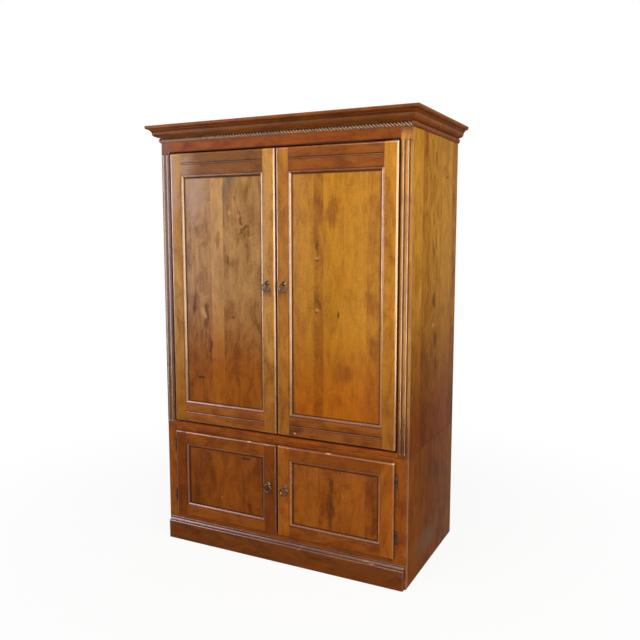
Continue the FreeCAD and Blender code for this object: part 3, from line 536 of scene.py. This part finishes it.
def plain_woods():
    """Pieces cut from one board, by the grain's direction and the stain."""
    # The sides and the base darken towards the floor, partly as painted shade
    WOODS["upper_left_side"] = Wood(
        "z", "#b98030", clouds=0.6, foot=(1500, 600, "#713607"),
        boards=((-330, 0.5), (-190, 0.45), (-60, 0.6), (90, 0.4), (210, 0.55), (380, 0.48)))
    WOODS["base_left_side"] = Wood("z", "#733d08", clouds=0.6)
    WOODS["frieze_rail"] = Wood("x", "#92490d")
    WOODS["upper_bottom_rail"] = Wood("x", "#984a06")
    stiles = {"upper_left": ("#aa7a3d", "#b78239"), "upper_right": ("#ba7b22", "#a66a24"),
              "lower_left": ("#723707", "#723707"), "lower_right": ("#9a5511", "#9a5511")}
    rails = {"upper_left": ("#7b4d1e", "#92531a"), "upper_right": ("#894b15", "#894b15"),
             "lower_left": ("#85460e", "#85460e"), "lower_right": ("#85460e", "#85460e")}
    # The left fluted stile is darker and greyer than the right one, partly painted shade and
    # sheen
    fluted = {"left": "#754c32", "right": "#c1843b"}
    for side in SIDES:
        # The fluted stiles darken towards the floor, partly as painted shade
        WOODS[f"{side}_fluted_stile"] = Wood("z", fluted[side], foot=(900, 600, "#7a4618"),
                                             head=(1860, 1905, "#80502a"))
        WOODS[f"base_{side}_stile"] = Wood("z", "#8f4c10")
        WOODS[f"{side}_cornice"] = Wood("y", "#7f430a")
        for level in LEVELS:
            door = f"{level}_{side}"
            # The upper doors' stiles darken towards their feet, partly as painted shade
            foot = (1100, 640, "#9a5f1c") if level == "upper" else EMPTY
            for piece, stain in zip(("outer_stile", "inner_stile"), stiles[door]):
                WOODS[f"{door}_door_{piece}"] = Wood("z", stain, foot=foot)
            for piece, stain in zip(("top_rail", "bottom_rail"), rails[door]):
                WOODS[f"{door}_door_{piece}"] = Wood("x", stain)
    # A painted sheen at the upper left of the left door's frame, where the lacquer reflects the
    # cool light, then chips in the finish and a spot that took less stain
    for node, *marks in (
            ("upper_left_door_outer_stile", (-545, 1740, 50, 260, "bloom")),
            ("upper_left_door_top_rail", (-510, 1800, 110, 90, "bloom")),
            ("upper_right_door_bottom_rail", (92, 610, 8, 5, "chip"),
             (552, 600, 6, 5, "chip")),
            ("lower_left_door_top_rail", (-144, 541, 16, 3, "chip")),
            ("lower_right_door_top_rail", (256, 542, 16, 3, "chip")),
            ("lower_right_door_outer_stile", (555, 540, 9, 6, "chip"),
             (555, 132, 6, 6, "pale"))):
        WOODS[node].marks = marks
    WOODS["lower_left_door_panel"] = Wood(
        "z", "#7f4208", boards=((-500, 0.5), (-330, 0.42), (-190, 0.6), (-60, 0.4)),
        marks=((-166, 455, 40, 9, "fleck"), (-302, 250, 4, 5, "eye")))
    WOODS["lower_right_door_panel"] = Wood(
        "z", "#8f4e10", boards=((60, 0.5), (204, 0.6), (314, 0.4), (425, 0.6), (500, 0.3)),
        marks=((268, 290, 24, 80, "figure"), (262, 385, 14, 40, "figure")))
    for node in ("base_top_rail", "base_bottom_rail"):
        WOODS[node] = Wood("x", "#85460e")
    WOODS["plinth_moulding"] = Wood("x", "#6a370d", marks=(
        (432, 92, 24, 1.2, "chip"), (462, 88, 18, 1.2, "chip"), (121, 90, 30, 2, "pale")))
    WOODS["front_cornice"] = Wood("x", "#81460e")
    WOODS["rope_moulding"] = Wood("x", "#905a1a")
    for node in ("base_bottom_panel", "base_top_panel", "adjustable_shelf", "upper_deck",
                 "upper_top_panel"):
        WOODS[node] = Wood("x", "#9c6a38", clouds=0.6)
    for node in ("base_back_panel", "upper_back_panel"):
        WOODS[node] = Wood("z", "#8b6238", clouds=0.35)


# Modelling tools

# Two faces meet at an arris, or in a hollow, where they turn by more than these
ARRIS_TURN, HOLLOW_TURN = 28 * DEGREE, 20 * DEGREE
# Faces this near square to an axis, and those whose normal is this low, aren't burnished
SQUARE_WITHIN, DOWNWARD = 6 * DEGREE, -0.25
# Half widths of the lines of painted shadow along a frame's quirks, sight edges, outer edges,
# tops and beads, along a panel's left, right, foot and head, and round the upper doors
STILE_QUIRK, RAIL_QUIRK, SIGHT, OUTER, TOP, BEAD = (
    width * MM for width in (1.5, 1.8, 2.5, 2.4, 3, 2.6))
PANEL_LEFT, PANEL_RIGHT, PANEL_FOOT, PANEL_HEAD = (width * MM for width in (12, 7, 5, 7))
FLUTED_GAP, FRIEZE_GAP, SILL_GAP, DOOR_GAP = (width * MM for width in (7, 8, 6, 4))
# Arrises along the seam between the cases and on moulded pieces, and glazing with painted
# shade in mouldings
SEAM_ARRIS, MOULDED_ARRIS = 0.3 * MM, 0.8 * MM
CROWN_GLAZE_AND_SHADE, PLINTH_GLAZE_AND_SHADE = 0.35, 0.6
# Which way an outer wall of a flute faces, and how deep, in flutes, its glazing and painted
# shade still lie
OUTER_WALL, FLUTE_REACH = 0.45, 1.1
# How soon glazing and painted shade fill the rope's valleys, and wear and a painted highlight
# end on its crests, and how low they are
ROPE_GLAZE_AND_SHADE, ROPE_WEAR_AND_HIGHLIGHT, ROPE_CREST = 1.8, 2.5, 0.4


def only(piece):
    """Selects one object alone and makes it active."""
    bpy.ops.object.select_all(action="DESELECT")
    piece.select_set(True)
    bpy.context.view_layer.objects.active = piece


def edited(piece, work):
    """Runs work on the piece's faces in edit mode, with everything selected at first."""
    only(piece)
    bpy.ops.object.mode_set(mode="EDIT")
    bpy.ops.mesh.select_all(action="SELECT")
    work()
    bpy.ops.object.mode_set(mode="OBJECT")


def modified(piece, kind, **settings):
    """Adds a modifier and applies it."""
    only(piece)
    modifier = piece.modifiers.new(kind.title(), kind)
    for name, value in settings.items():
        setattr(modifier, name, value)
    bpy.ops.object.modifier_apply(modifier=modifier.name)


def placed(name, data):
    """Puts data in the scene as an object."""
    thing = bpy.data.objects.new(name, data)
    bpy.context.scene.collection.objects.link(thing)
    return thing


def copied(node, name):
    """A merged copy of a node's mesh, with its flat faces whole."""
    piece = placed(name, frame["nodes"][node].data.copy())

    def clean():
        bpy.ops.mesh.remove_doubles(threshold=0.01 * MM)
        bpy.ops.mesh.dissolve_limited(angle_limit=0.3 * DEGREE)

    edited(piece, clean)
    if piece.data.has_custom_normals:
        bpy.ops.mesh.customdata_custom_splitnormals_clear()
    return piece


def added(primitive, name, **settings):
    """Adds a primitive with nothing else selected."""
    bpy.ops.object.select_all(action="DESELECT")
    primitive(**settings)
    piece = bpy.context.object
    piece.name = name
    return piece


def joined(piece, part):
    """Makes a part one mesh with its piece."""
    only(piece)
    part.select_set(True)
    bpy.ops.object.join()


def smoothed(piece, angle=38):
    """Shades a piece smooth, but not where its faces turn by more than the angle."""
    only(piece)
    bpy.ops.object.shade_smooth_by_angle(angle=angle * DEGREE)


def write_values(mesh, name, domain, values):
    """Stores a number for each point, edge, face or corner of a mesh."""
    mesh.attributes.new(name, "FLOAT", domain).data.foreach_set("value", values)


def softened(piece, width):
    """Rounds the sharp edges, but not those of joints, and marks the new faces as worn, which
    also paints a highlight on them.
    """
    piece.data.materials.clear()
    for _ in range(2):
        piece.data.materials.append(None)
    weigh_arrises(piece)
    modified(piece, "BEVEL", width=width, segments=2, limit_method="WEIGHT", material=1,
             harden_normals=False, use_clamp_overlap=True)
    mesh = piece.data
    write_values(mesh, "worn", "FACE",
                 [float(face.material_index == 1) for face in mesh.polygons])
    for face in mesh.polygons:
        square = max(abs(axis) for axis in face.normal)
        lit = face.normal.z > DOWNWARD
        face.material_index = int(lit and square < math.cos(SQUARE_WITHIN))
    smoothed(piece)


def meetings(mesh):
    """The edges where two faces meet: the faces, how far the edge stands out, which is below
    nought for a hollow, and the cosine of its turn."""
    found, met = {}, {}
    for face in mesh.polygons:
        for key in face.edge_keys:
            found.setdefault(key, []).append(face)
    for key, faces in found.items():
        if len(faces) == 2:
            one, two = faces
            met[key] = (faces, one.normal.dot(one.center - two.center),
                        one.normal.dot(two.normal))
    return met


def longest_axis(piece):
    return max(range(3), key=lambda axis: piece.dimensions[axis])


def weigh_arrises(piece):
    """Gives a bevel weight to each outward edge that is sharp, and isn't on a joint: an end
    of the board, or a mitre."""
    along = 2 if "_side" in piece.name else longest_axis(piece)
    met = meetings(piece.data)
    weights = []
    for edge in piece.data.edges:
        faces, out, turn = met.get(edge.key, ((), 0, 1))
        joint = any(abs(face.normal[along]) > 0.5 for face in faces)
        weights.append(float(out > 0 and turn < math.cos(ARRIS_TURN) and not joint))
    write_values(piece.data, "bevel_weight_edge", "EDGE", weights)


def glaze_and_shade_hollows(piece, strength, narrow=14 * MM):
    """Marks the inward corners of a moulding's narrow faces, where glazing and painted
    shade darken them.
    """
    mesh = piece.data
    along = longest_axis(piece)
    hollows = set()
    for key, (_, out, turn) in meetings(mesh).items():
        if out < 0 and turn < math.cos(HOLLOW_TURN):
            hollows.update(key)
    values = [0.0] * len(mesh.loops)
    for face in mesh.polygons:
        corners = [mesh.vertices[index].co for index in face.vertices]
        widths = [max(corner[axis] for corner in corners)
                  - min(corner[axis] for corner in corners)
                  for axis in range(3) if axis != along]
        if math.hypot(*widths) < narrow:
            for loop in face.loop_indices:
                if mesh.loops[loop].vertex_index in hollows:
                    values[loop] = strength
    write_values(mesh, "hollow", "CORNER", values)


def body_of(node):
    return frame["nodes"][node]["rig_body"]


def record_slot(node):
    return next(row["material_slot"] for row in frame["record"]["subparts"]
                if row["node"] == node)


def fitted(piece, node, *materials):
    """Gives a piece its materials, and lets it stand for a node on the node's body."""
    indices = [face.material_index for face in piece.data.polygons]
    piece.data.materials.clear()
    for material in materials:
        piece.data.materials.append(material)
    piece.data.polygons.foreach_set("material_index", indices)
    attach(piece, body_of(node))
    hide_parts(node)


def door_shadow_lines(node):
    """Where painted shadow darkens a door's frame and panel: along the quirks, in the corner
    where the panel goes in, and each side of the bead on an upper rail."""
    door, part = node.split("_door_")
    boxes = {name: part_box(f"{door}_door_{name}") for name in
             ("outer_stile", "inner_stile", "top_rail", "bottom_rail")}
    stiles = sorted((boxes["outer_stile"], boxes["inner_stile"]), key=lambda box: box[0].x)
    left, right = stiles[0][1].x, stiles[1][0].x
    low, high = boxes["bottom_rail"][1].z, boxes["top_rail"][0].z
    if part == "panel":
        return (("x", left, PANEL_LEFT, low, high), ("x", right, PANEL_RIGHT, low, high),
                ("z", low, PANEL_FOOT, left, right), ("z", high, PANEL_HEAD, left, right))
    own = boxes[part]
    if "stile" in part:
        on_left = own[1].x == left
        sight, turn = (left, -1) if on_left else (right, 1)
        outer = own[0].x if on_left else own[1].x
        return (("x", sight + turn * STICKING, STILE_QUIRK, low - STICKING, high + STICKING),
                ("x", sight, SIGHT, low, high), ("x", outer, OUTER, own[0].z, own[1].z),
                *([("z", own[1].z, TOP, own[0].x, own[1].x)] if "upper" in node else ()))
    sight, turn = (low, -1) if part == "bottom_rail" else (high, 1)
    lines = [("z", sight + turn * STICKING, RAIL_QUIRK, left - STICKING, right + STICKING),
             ("z", sight, SIGHT, left, right)]
    if node.startswith("upper"):
        outer = own[0].z if turn == -1 else own[1].z
        bead = outer - turn * BEAD_LINE
        if turn == 1:
            lines.append(("z", outer, TOP, own[0].x, own[1].x))
        lines += [("z", bead + BEAD_HALF, BEAD, own[0].x, own[1].x),
                  ("z", bead - BEAD_HALF, BEAD, own[0].x, own[1].x)]
    return tuple(lines)


def case_shadow_lines(node):
    """Where painted shadow darkens the upper case round its doors, which stand proud of it."""
    low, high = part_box(node)
    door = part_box("upper_right_door_outer_stile")
    reach = door[1].x + DOOR_GAP
    if "fluted" in node:
        inner = high.x if high.x < 0 else low.x
        return (("x", inner, FLUTED_GAP, door[0].z, door[1].z),)
    if node == "frieze_rail":
        return (("z", low.z, FRIEZE_GAP, -reach, reach),)
    if node == "upper_bottom_rail":
        return (("z", high.z, SILL_GAP, -reach, reach),)
    return EMPTY


def wooden(node, arris=None, glaze_and_shade=0):
    """Dresses a wooden node: softened edges and its own stained maple."""
    look = bpy.context.scene.cabinet_wood
    piece = copied(node, f"{node}_board")
    softened(piece, arris or look.arris)
    # Glazing and painted shade in the moulding's hollows
    if glaze_and_shade:
        glaze_and_shade_hollows(piece, glaze_and_shade)
    lines = door_shadow_lines(node) if "_door_" in node else case_shadow_lines(node)
    satin, burnished = stained_maple(f"stained_maple_{node}", WOODS[node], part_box(node), lines)
    if node.endswith("_side") or node in ("left_cornice", "right_cornice"):
        lacquered(satin, look.matt)
    if "cornice" in node:
        lacquered(burnished, look.soft)
    fitted(piece, node, satin, burnished)
    return piece


class Piece(bpy.types.Operator):
    """What the cabinet's operators share."""

    bl_options = {"REGISTER", "UNDO"}

    def execute(self, context):
        self.build()
        return {"FINISHED"}


class CABINET_OT_case(Piece):
    """Dress the sides, face frames and inner boards of both cases"""

    bl_idname = "cabinet.case"
    bl_label = "Cases"

    def build(self):
        for node in WOODS:
            if "door" not in node and node not in ("rope_moulding", "plinth_moulding"):
                seam = node in ("upper_bottom_rail", "base_top_rail")
                piece = wooden(node, SEAM_ARRIS if seam else None,
                               CROWN_GLAZE_AND_SHADE if "cornice" in node else 0)
                if "fluted" in node:
                    self.glaze_and_shade_flutes(piece)

    def glaze_and_shade_flutes(self, piece):
        """Glazing and painted shade: the deeper in a flute, the darker. On the right only its
        outer wall is burnished.
        """
        mesh = piece.data
        if mesh.vertices[0].co.x > 0:
            for face in mesh.polygons:
                if face.normal.x < OUTER_WALL:
                    face.material_index = 0
        front = min(vertex.co.y for vertex in mesh.vertices)
        depths = [(vertex.co.y - front) / FLUTE_DEPTH for vertex in mesh.vertices]
        write_values(mesh, "hollow", "POINT",
                     [max(depth, 0) if depth < FLUTE_REACH else 0.0 for depth in depths])


class CABINET_OT_plinth(Piece):
    """Dress the plinth board and its moulded cap"""

    bl_idname = "cabinet.plinth"
    bl_label = "Plinth"

    def build(self):
        wooden("plinth_moulding", MOULDED_ARRIS, PLINTH_GLAZE_AND_SHADE)


# Points round one strand, steps in one turn of it, and how full it is
STRAND_POINTS, TURN_STEPS, STRAND_FULLNESS = 16, 18, 0.75


class CABINET_OT_rope(Piece):
    """Turn the rope moulding under the crown"""

    bl_idname = "cabinet.rope"
    bl_label = "Rope moulding"

    def build(self):
        look = bpy.context.scene.cabinet_rope
        low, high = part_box("rope_moulding")
        proud = high.y - low.y
        centre = Vector((0, low.y + ROPE_RADIUS, high.z - ROPE_DROP))
        rope = self.twisted(look, low, high, centre)
        self.add_fillet(low, high, centre.z, rope)

        def trim():
            bisect((0, high.y, 0), (0, 1, 0))
            bisect((0, 0, high.z), (0, 0, 1))
            for side in (-1, 1):
                bisect(((high.x - proud) * side, high.y, 0), (side, 1, 0))
            bpy.ops.mesh.select_all(action="SELECT")
            face_outwards()

        edited(rope, trim)
        smoothed(rope, 40)
        self.glaze_and_shade(rope, look, centre)
        fitted(rope, "rope_moulding",
               *stained_maple("stained_maple_rope", WOODS["rope_moulding"],
                              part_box("rope_moulding")))

    def glaze_and_shade(self, rope, look, centre):
        """Marks the valleys, where glazing and painted shade stay, and the crests, where they
        wear off and a painted highlight lies.
        """
        depths = []
        for vertex in rope.data.vertices:
            away = Vector((vertex.co.y - centre.y, vertex.co.z - centre.z)).length
            depths.append(min(max((ROPE_RADIUS - away) / look.relief, 0), 1))
        write_values(rope.data, "hollow", "POINT",
                     [min(ROPE_GLAZE_AND_SHADE * depth, 1) for depth in depths])
        write_values(rope.data, "worn", "POINT",
                     [max(1 - ROPE_WEAR_AND_HIGHLIGHT * depth, 0) for depth in depths])
        for face in rope.data.polygons:
            depth = sum(depths[index] for index in face.vertices) / len(face.vertices)
            face.material_index = int(depth < ROPE_CREST)

    def twisted(self, look, low, high, centre):
        """Sweeps a lobed circle along the front while it turns."""
        length = high.x - low.x
        rope = added(bpy.ops.mesh.primitive_circle_add, "twisted_rope",
                     vertices=STRAND_POINTS * look.strands, radius=ROPE_RADIUS,
                     location=(low.x, centre.y, centre.z), rotation=(0, 90 * DEGREE, 0))
        bpy.ops.object.transform_apply(location=False)
        for vertex in rope.data.vertices:
            angle = math.atan2(vertex.co.z, vertex.co.y)
            bulge = abs(math.cos(angle * look.strands / 2))
            vertex.co *= 1 - look.relief / ROPE_RADIUS * (1 - bulge ** STRAND_FULLNESS)
        turns = length / (look.pitch * look.strands)
        steps = int(turns * TURN_STEPS)
        modified(rope, "SCREW", axis="X", screw_offset=length, angle=2 * math.pi * turns,
                 steps=steps, render_steps=steps, use_smooth_shade=True)
        bpy.ops.object.transform_apply()
        return rope

    def add_fillet(self, low, high, middle, rope):
        """Adds the flat strip that closes the rope against the crown."""
        strip = added(bpy.ops.mesh.primitive_cube_add, "rope_fillet", size=1,
                      location=(0, high.y - ROPE_FILLET / 2, (middle + high.z) / 2))
        strip.scale = (high.x - low.x, ROPE_FILLET, high.z - middle)
        bpy.ops.object.transform_apply()
        joined(rope, strip)


def face_outwards():
    bpy.ops.mesh.normals_make_consistent(inside=False)


def bisect(point, outward):
    """Cuts away all that lies beyond a plane, and closes the cut."""
    bpy.ops.mesh.select_all(action="SELECT")
    bpy.ops.mesh.bisect(plane_co=point, plane_no=outward, use_fill=True, clear_outer=True)


class CABINET_OT_doors(Piece):
    """Dress the frames and panels of the four doors"""

    bl_idname = "cabinet.doors"
    bl_label = "Doors"

    def build(self):
        for node in WOODS:
            if "door" in node:
                wooden(node, MOULDED_ARRIS)


# Metal

# The turned rosette from its back to its neck: (share of the radius, share of the reach)
ROSETTE_SHARES = ((1.0, 0.07), (0.93, 0.05), (0.8, 0.0), (0.74, 0.06), (0.56, 0.1),
                  (0.4, 0.12), (0.3, 0.16), (0.27, 0.12))
EYE_BORE_SHARE, EYE_HEIGHT = 0.36, 1.7
PETALS, PETAL_DEPTH = 8, 0.14
RING_SWELL = 0.3


# How rough each metal is where its noise is low and where it's high
BRONZE_GLOSS, STEEL_GLOSS = (0.5, 0.28), (0.28, 0.46)
# How fine the bronze's grit is, where in it the patina is worn, and the steel's rolling lines
GRIT_SCALE, GRIT_WORN = 260.0, (0.52, 0.74)
ROLLING = (900.0, 12.0, 900.0)


def polished(tree, shader, noise, gloss):
    """Makes a shader metal, with roughness that follows noise."""
    rough = add(tree, "MapRange", [noise, NOISE_LOW, NOISE_HIGH, gloss[0], gloss[1]])
    feed(shader, {"Roughness": rough, "Metallic": 1.0})


def dark_bronze():
    """Cast brass with a chemical dark-bronze patina, worn to warm metal on high points."""
    look = bpy.context.scene.cabinet_metal
    material, tree, shader = new_material("patinated_bronze", tuple(look.bronze))
    place = add(tree, "TexCoord").outputs["Object"]
    grit = add(tree, "TexNoise", {"Vector": place, "Scale": GRIT_SCALE, "Detail": 4.0})
    mask = add(tree, "MapRange", [grit, GRIT_WORN[0], GRIT_WORN[1]])
    colour = add(tree, "Mix", {0: mask, 6: (*look.bronze, 1), 7: (*look.rubbed, 1)},
                 data_type="RGBA")
    polished(tree, shader, grit, BRONZE_GLOSS)
    feed(shader, {"Base Color": colour.outputs[2]})
    return material


def rolled_steel(name, colour):
    """Rolled steel, zinc-plated or blackened: fine rolling lines and a soft shine."""
    material, tree, shader = new_material(name, tuple(colour))
    place = add(tree, "TexCoord").outputs["Object"]
    drawn = add(tree, "VectorMath", [place, ROLLING], operation="MULTIPLY")
    lines = add(tree, "TexNoise", {"Vector": drawn, "Scale": 1.0, "Detail": 2.0})
    polished(tree, shader, lines, STEEL_GLOSS)
    return material


class CABINET_OT_pulls(Piece):
    """Cast the four ring pulls"""

    bl_idname = "cabinet.pulls"
    bl_label = "Ring pulls"

    def build(self):
        bronze = dark_bronze()
        for level in LEVELS:
            for side in SIDES:
                post, ring = f"{level}_{side}_pull_post", f"{level}_{side}_pull_ring"
                fitted(self.rosette(post, ring), post, bronze)
                fitted(self.ring(ring), ring, bronze)

    def rosette(self, post, ring):
        """A petalled back plate that swells into a neck, with an eye on its end."""
        low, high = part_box(post)
        middle = (low + high) / 2
        back, eye = high.y, (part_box(ring)[0].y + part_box(ring)[1].y) / 2
        radius = (high.z - low.z) / 2
        plate = added(bpy.ops.mesh.primitive_circle_add, f"{post}_rosette", vertices=64,
                      radius=radius, fill_type="NGON", location=(middle.x, back, middle.z),
                      rotation=(90 * DEGREE, 0, 0))
        bpy.ops.object.transform_apply(location=False)
        reach = back - eye
        bore = radius * EYE_BORE_SHARE

        def turn():
            width = 1.0
            for share, out in ROSETTE_SHARES:
                bpy.ops.mesh.extrude_region_move(
                    TRANSFORM_OT_translate={"value": (0, -reach * out, 0)})
                bpy.ops.transform.resize(value=(share / width, 1, share / width),
                                         center_override=(middle.x, back, middle.z))
                width = share

        edited(plate, turn)
        for vertex in plate.data.vertices:
            away = Vector((vertex.co.x, vertex.co.z)).length
            share = max(away / radius - 0.5, 0) * 2
            petal = abs(math.cos(math.atan2(vertex.co.z, vertex.co.x) * PETALS / 2))
            scale = 1 - PETAL_DEPTH * share * (1 - petal)
            vertex.co.x *= scale
            vertex.co.z *= scale
        bpy.ops.object.transform_apply()
        wall = back - low.y - reach - bore
        loop = added(bpy.ops.mesh.primitive_torus_add, "pull_eye",
                     location=(middle.x, eye, middle.z), rotation=(0, 90 * DEGREE, 0),
                     major_segments=36, minor_segments=14, major_radius=bore + wall / 2,
                     minor_radius=wall / 2)
        loop.scale = (1, 1, EYE_HEIGHT)
        bpy.ops.object.transform_apply()
        joined(plate, loop)
        edited(plate, face_outwards)
        smoothed(plate, 50)
        return plate

    def ring(self, node):
        """A ring that is cast wider at the bottom, towards its middle."""
        low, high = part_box(node)
        middle = (low + high) / 2
        wire = (high.y - low.y) / 2
        radius = (high.x - low.x) / 2 - wire
        ring = added(bpy.ops.mesh.primitive_torus_add, f"{node}_casting", location=middle,
                     rotation=(90 * DEGREE, 0, 0), major_segments=72, minor_segments=20,
                     major_radius=radius, minor_radius=wire)
        bpy.ops.object.transform_apply()
        for vertex in ring.data.vertices:
            away = Vector((vertex.co.x - middle.x, 0, vertex.co.z - middle.z))
            core = middle + away.normalized() * radius
            out = away.length - radius
            swell = RING_SWELL * (1 - (core.z - middle.z) / radius)
            out -= swell * (wire - out)
            vertex.co = core + away.normalized() * out + Vector((0, vertex.co.y - core.y, 0))
        only(ring)
        bpy.ops.object.shade_smooth()
        return ring


class CABINET_OT_metal(Piece):
    """Dress the hinges and the pocket-door gear"""

    bl_idname = "cabinet.metal"
    bl_label = "Metal fittings"

    def build(self):
        look = bpy.context.scene.cabinet_metal
        bronze = dark_bronze()
        zinc = rolled_steel("zinc_plated_steel", look.steel)
        black = rolled_steel("blackened_steel", look.black)
        for node in frame["nodes"]:
            if node in WOODS or "pull" in node:
                continue
            piece = copied(node, f"{node}_metal")
            smoothed(piece)
            steel = black if "carriage" in node else zinc
            fitted(piece, node, bronze if record_slot(node) == "dark_bronze" else steel)


# Stage

CAMERA_PLACE = (1.5369, -3.0151, 1.5029)
CAMERA_TURN = 27.104 * DEGREE
CAMERA_DIP = 6.644 * DEGREE
CAMERA_ROLL = -0.123 * DEGREE
CAMERA_LENS = 40.12
CAMERA_SHIFT = (0.0206, -0.011)

# A light is (name, place, target, size, setting for its power, tint)
LIGHTS = (
    ("overhead_light", (0.4, -2.3, 4.0), (0, 0, 1.4), (2.6, 1.6), "key", "#fff8ee"),
    ("right_light", (2.9, -0.9, 3.1), (0.6, 0, 1.8), (1.0, 1.4), "right", "#fffaf2"),
    ("left_light", (-2.4, -3.4, 1.5), (-0.4, -0.3, 1.5), (1.3, 1.2), "left", "#f0f0ff"))
# A card, which only gloss shows, is (name, place, size, setting, share of it, tint)
CARDS = (
    ("right_card", (2.7, -1.1, 1.6), (3.3, 2.6), "cream_card", 1, "#fff5ea"),
    ("front_card", (0.75, -4.55, 1.6), (3.2, 2.6), "cream_card", 0.75, "#fff0dc"),
    ("cool_card", (-2.6, -1.6, 1.75), (2.7, 1.9), "cool_card", 1, "#dfe0ff"))
CARD_AIM, CARD_DIP = -0.3, 0.2
# The floor is a little grey near the cabinet and white from the far distance on
FLOOR_NEAR, FLOOR_FAR, FLOOR_GREY, FLOOR_ROUGH = 0.7, 2.6, 0.9, 0.8


def background_ray(tree):
    """One for the rays that see the white background: camera, glossy and transmission."""
    path = add(tree, "LightPath").outputs
    mirrored = add(tree, "Math", [path["Is Camera Ray"], path["Is Glossy Ray"]],
                   operation="MAXIMUM")
    return add(tree, "Math", [mirrored, path["Is Transmission Ray"]], operation="MAXIMUM")


def area_light(name, place, target, size, power, colour, gloss=False):
    """A soft rectangular light, or a card that only the gloss of a surface shows."""
    data = bpy.data.lights.new(name, "AREA")
    data.shape = "RECTANGLE"
    data.size, data.size_y = size
    data.energy = power
    data.color = linear(colour)
    light = placed(name, data)
    light.visible_diffuse = not gloss
    light.location = place
    light.rotation_euler = (Vector(target) - Vector(place)).to_track_quat("-Z", "Y").to_euler()


class CABINET_OT_stage(Piece):
    """Set up the pale floor, the soft lights and the camera"""

    bl_idname = "cabinet.stage"
    bl_label = "Stage"

    def build(self):
        look = bpy.context.scene.cabinet_stage
        self.floor()
        self.world(look)
        for name, place, target, size, power, tint in LIGHTS:
            area_light(name, place, target, size, getattr(look, power), tint)
        for name, place, size, card, share, tint in CARDS:
            # Its power is its brightness times its area, in watts a square metre
            power = getattr(look, card) * share * size[0] * size[1]
            area_light(name, place, (0, CARD_AIM, place[2] - CARD_DIP), size, power, tint,
                       gloss=True)
        self.camera()
        bpy.context.scene.view_settings.view_transform = "Standard"

    def floor(self):
        plane = added(bpy.ops.mesh.primitive_plane_add, "studio_floor", size=40)
        material, tree, shader = new_material("white_paper_floor", (0.92, 0.92, 0.92))
        shader.inputs["Roughness"].default_value = FLOOR_ROUGH
        place = add(tree, "TexCoord").outputs["Object"]
        away = add(tree, "VectorMath", [place], operation="LENGTH")
        fade = add(tree, "MapRange", [away.outputs["Value"], FLOOR_NEAR, FLOOR_FAR, FLOOR_GREY,
                                      1.0], interpolation_type="SMOOTHSTEP")
        part = add(tree, "Math", [background_ray(tree), fade], operation="MULTIPLY")
        glow = add(tree, "Emission", {"Color": (1, 1, 1, 1), "Strength": 1.0})
        mixed = add(tree, "MixShader", [part, shader, glow])
        output = next(node for node in tree.nodes if node.type == "OUTPUT_MATERIAL")
        feed(output, {"Surface": mixed})
        plane.data.materials.append(material)

    def world(self, look):
        world = bpy.data.worlds.new("studio_world")
        bpy.context.scene.world = world
        world.use_nodes = True
        tree = world.node_tree
        tree.nodes.clear()
        room = add(tree, "Background", {"Color": (1, 1, 1, 1), "Strength": look.ambient})
        white = add(tree, "Background", {"Color": (1, 1, 1, 1), "Strength": 1.0})
        mixed = add(tree, "MixShader", [background_ray(tree), room, white])
        add(tree, "OutputWorld", {"Surface": mixed})

    def camera(self):
        data = bpy.data.cameras.new("camera")
        camera = placed("camera", data)
        turn = (Matrix.Rotation(CAMERA_TURN, 4, "Z")
                @ Matrix.Rotation(90 * DEGREE - CAMERA_DIP, 4, "X")
                @ Matrix.Rotation(CAMERA_ROLL, 4, "Z"))
        camera.matrix_world = Matrix.Translation(CAMERA_PLACE) @ turn
        data.sensor_width = 36
        data.lens = CAMERA_LENS
        data.shift_x, data.shift_y = CAMERA_SHIFT
        bpy.context.scene.camera = camera


class CABINET_PT_sidebar(bpy.types.Panel):
    """Lists the cabinet's pieces"""

    bl_idname = "CABINET_PT_sidebar"
    bl_label = "Cabinet"
    bl_space_type = "VIEW_3D"
    bl_region_type = "UI"
    bl_category = "Cabinet"

    def draw(self, context):
        for operator in OPERATORS:
            self.layout.operator(operator.bl_idname)


SETTINGS = {"cabinet_wood": CabinetWood, "cabinet_metal": CabinetMetal,
            "cabinet_rope": CabinetRope, "cabinet_stage": CabinetStage}
OPERATORS = (CABINET_OT_case, CABINET_OT_plinth, CABINET_OT_rope, CABINET_OT_doors,
             CABINET_OT_pulls, CABINET_OT_metal, CABINET_OT_stage)


def register():
    for group in (*SETTINGS.values(), *OPERATORS, CABINET_PT_sidebar):
        bpy.utils.register_class(group)
    for name, group in SETTINGS.items():
        setattr(bpy.types.Scene, name, PointerProperty(type=group))


def unregister():
    for name in SETTINGS:
        delattr(bpy.types.Scene, name)
    for group in (CABINET_PT_sidebar, *reversed(OPERATORS), *SETTINGS.values()):
        bpy.utils.unregister_class(group)


def main():
    register()
    plain_woods()
    bpy.ops.cabinet.case()
    bpy.ops.cabinet.plinth()
    bpy.ops.cabinet.rope()
    bpy.ops.cabinet.doors()
    bpy.ops.cabinet.pulls()
    bpy.ops.cabinet.metal()
    bpy.ops.cabinet.stage()


if __name__ == "__main__":
    main()
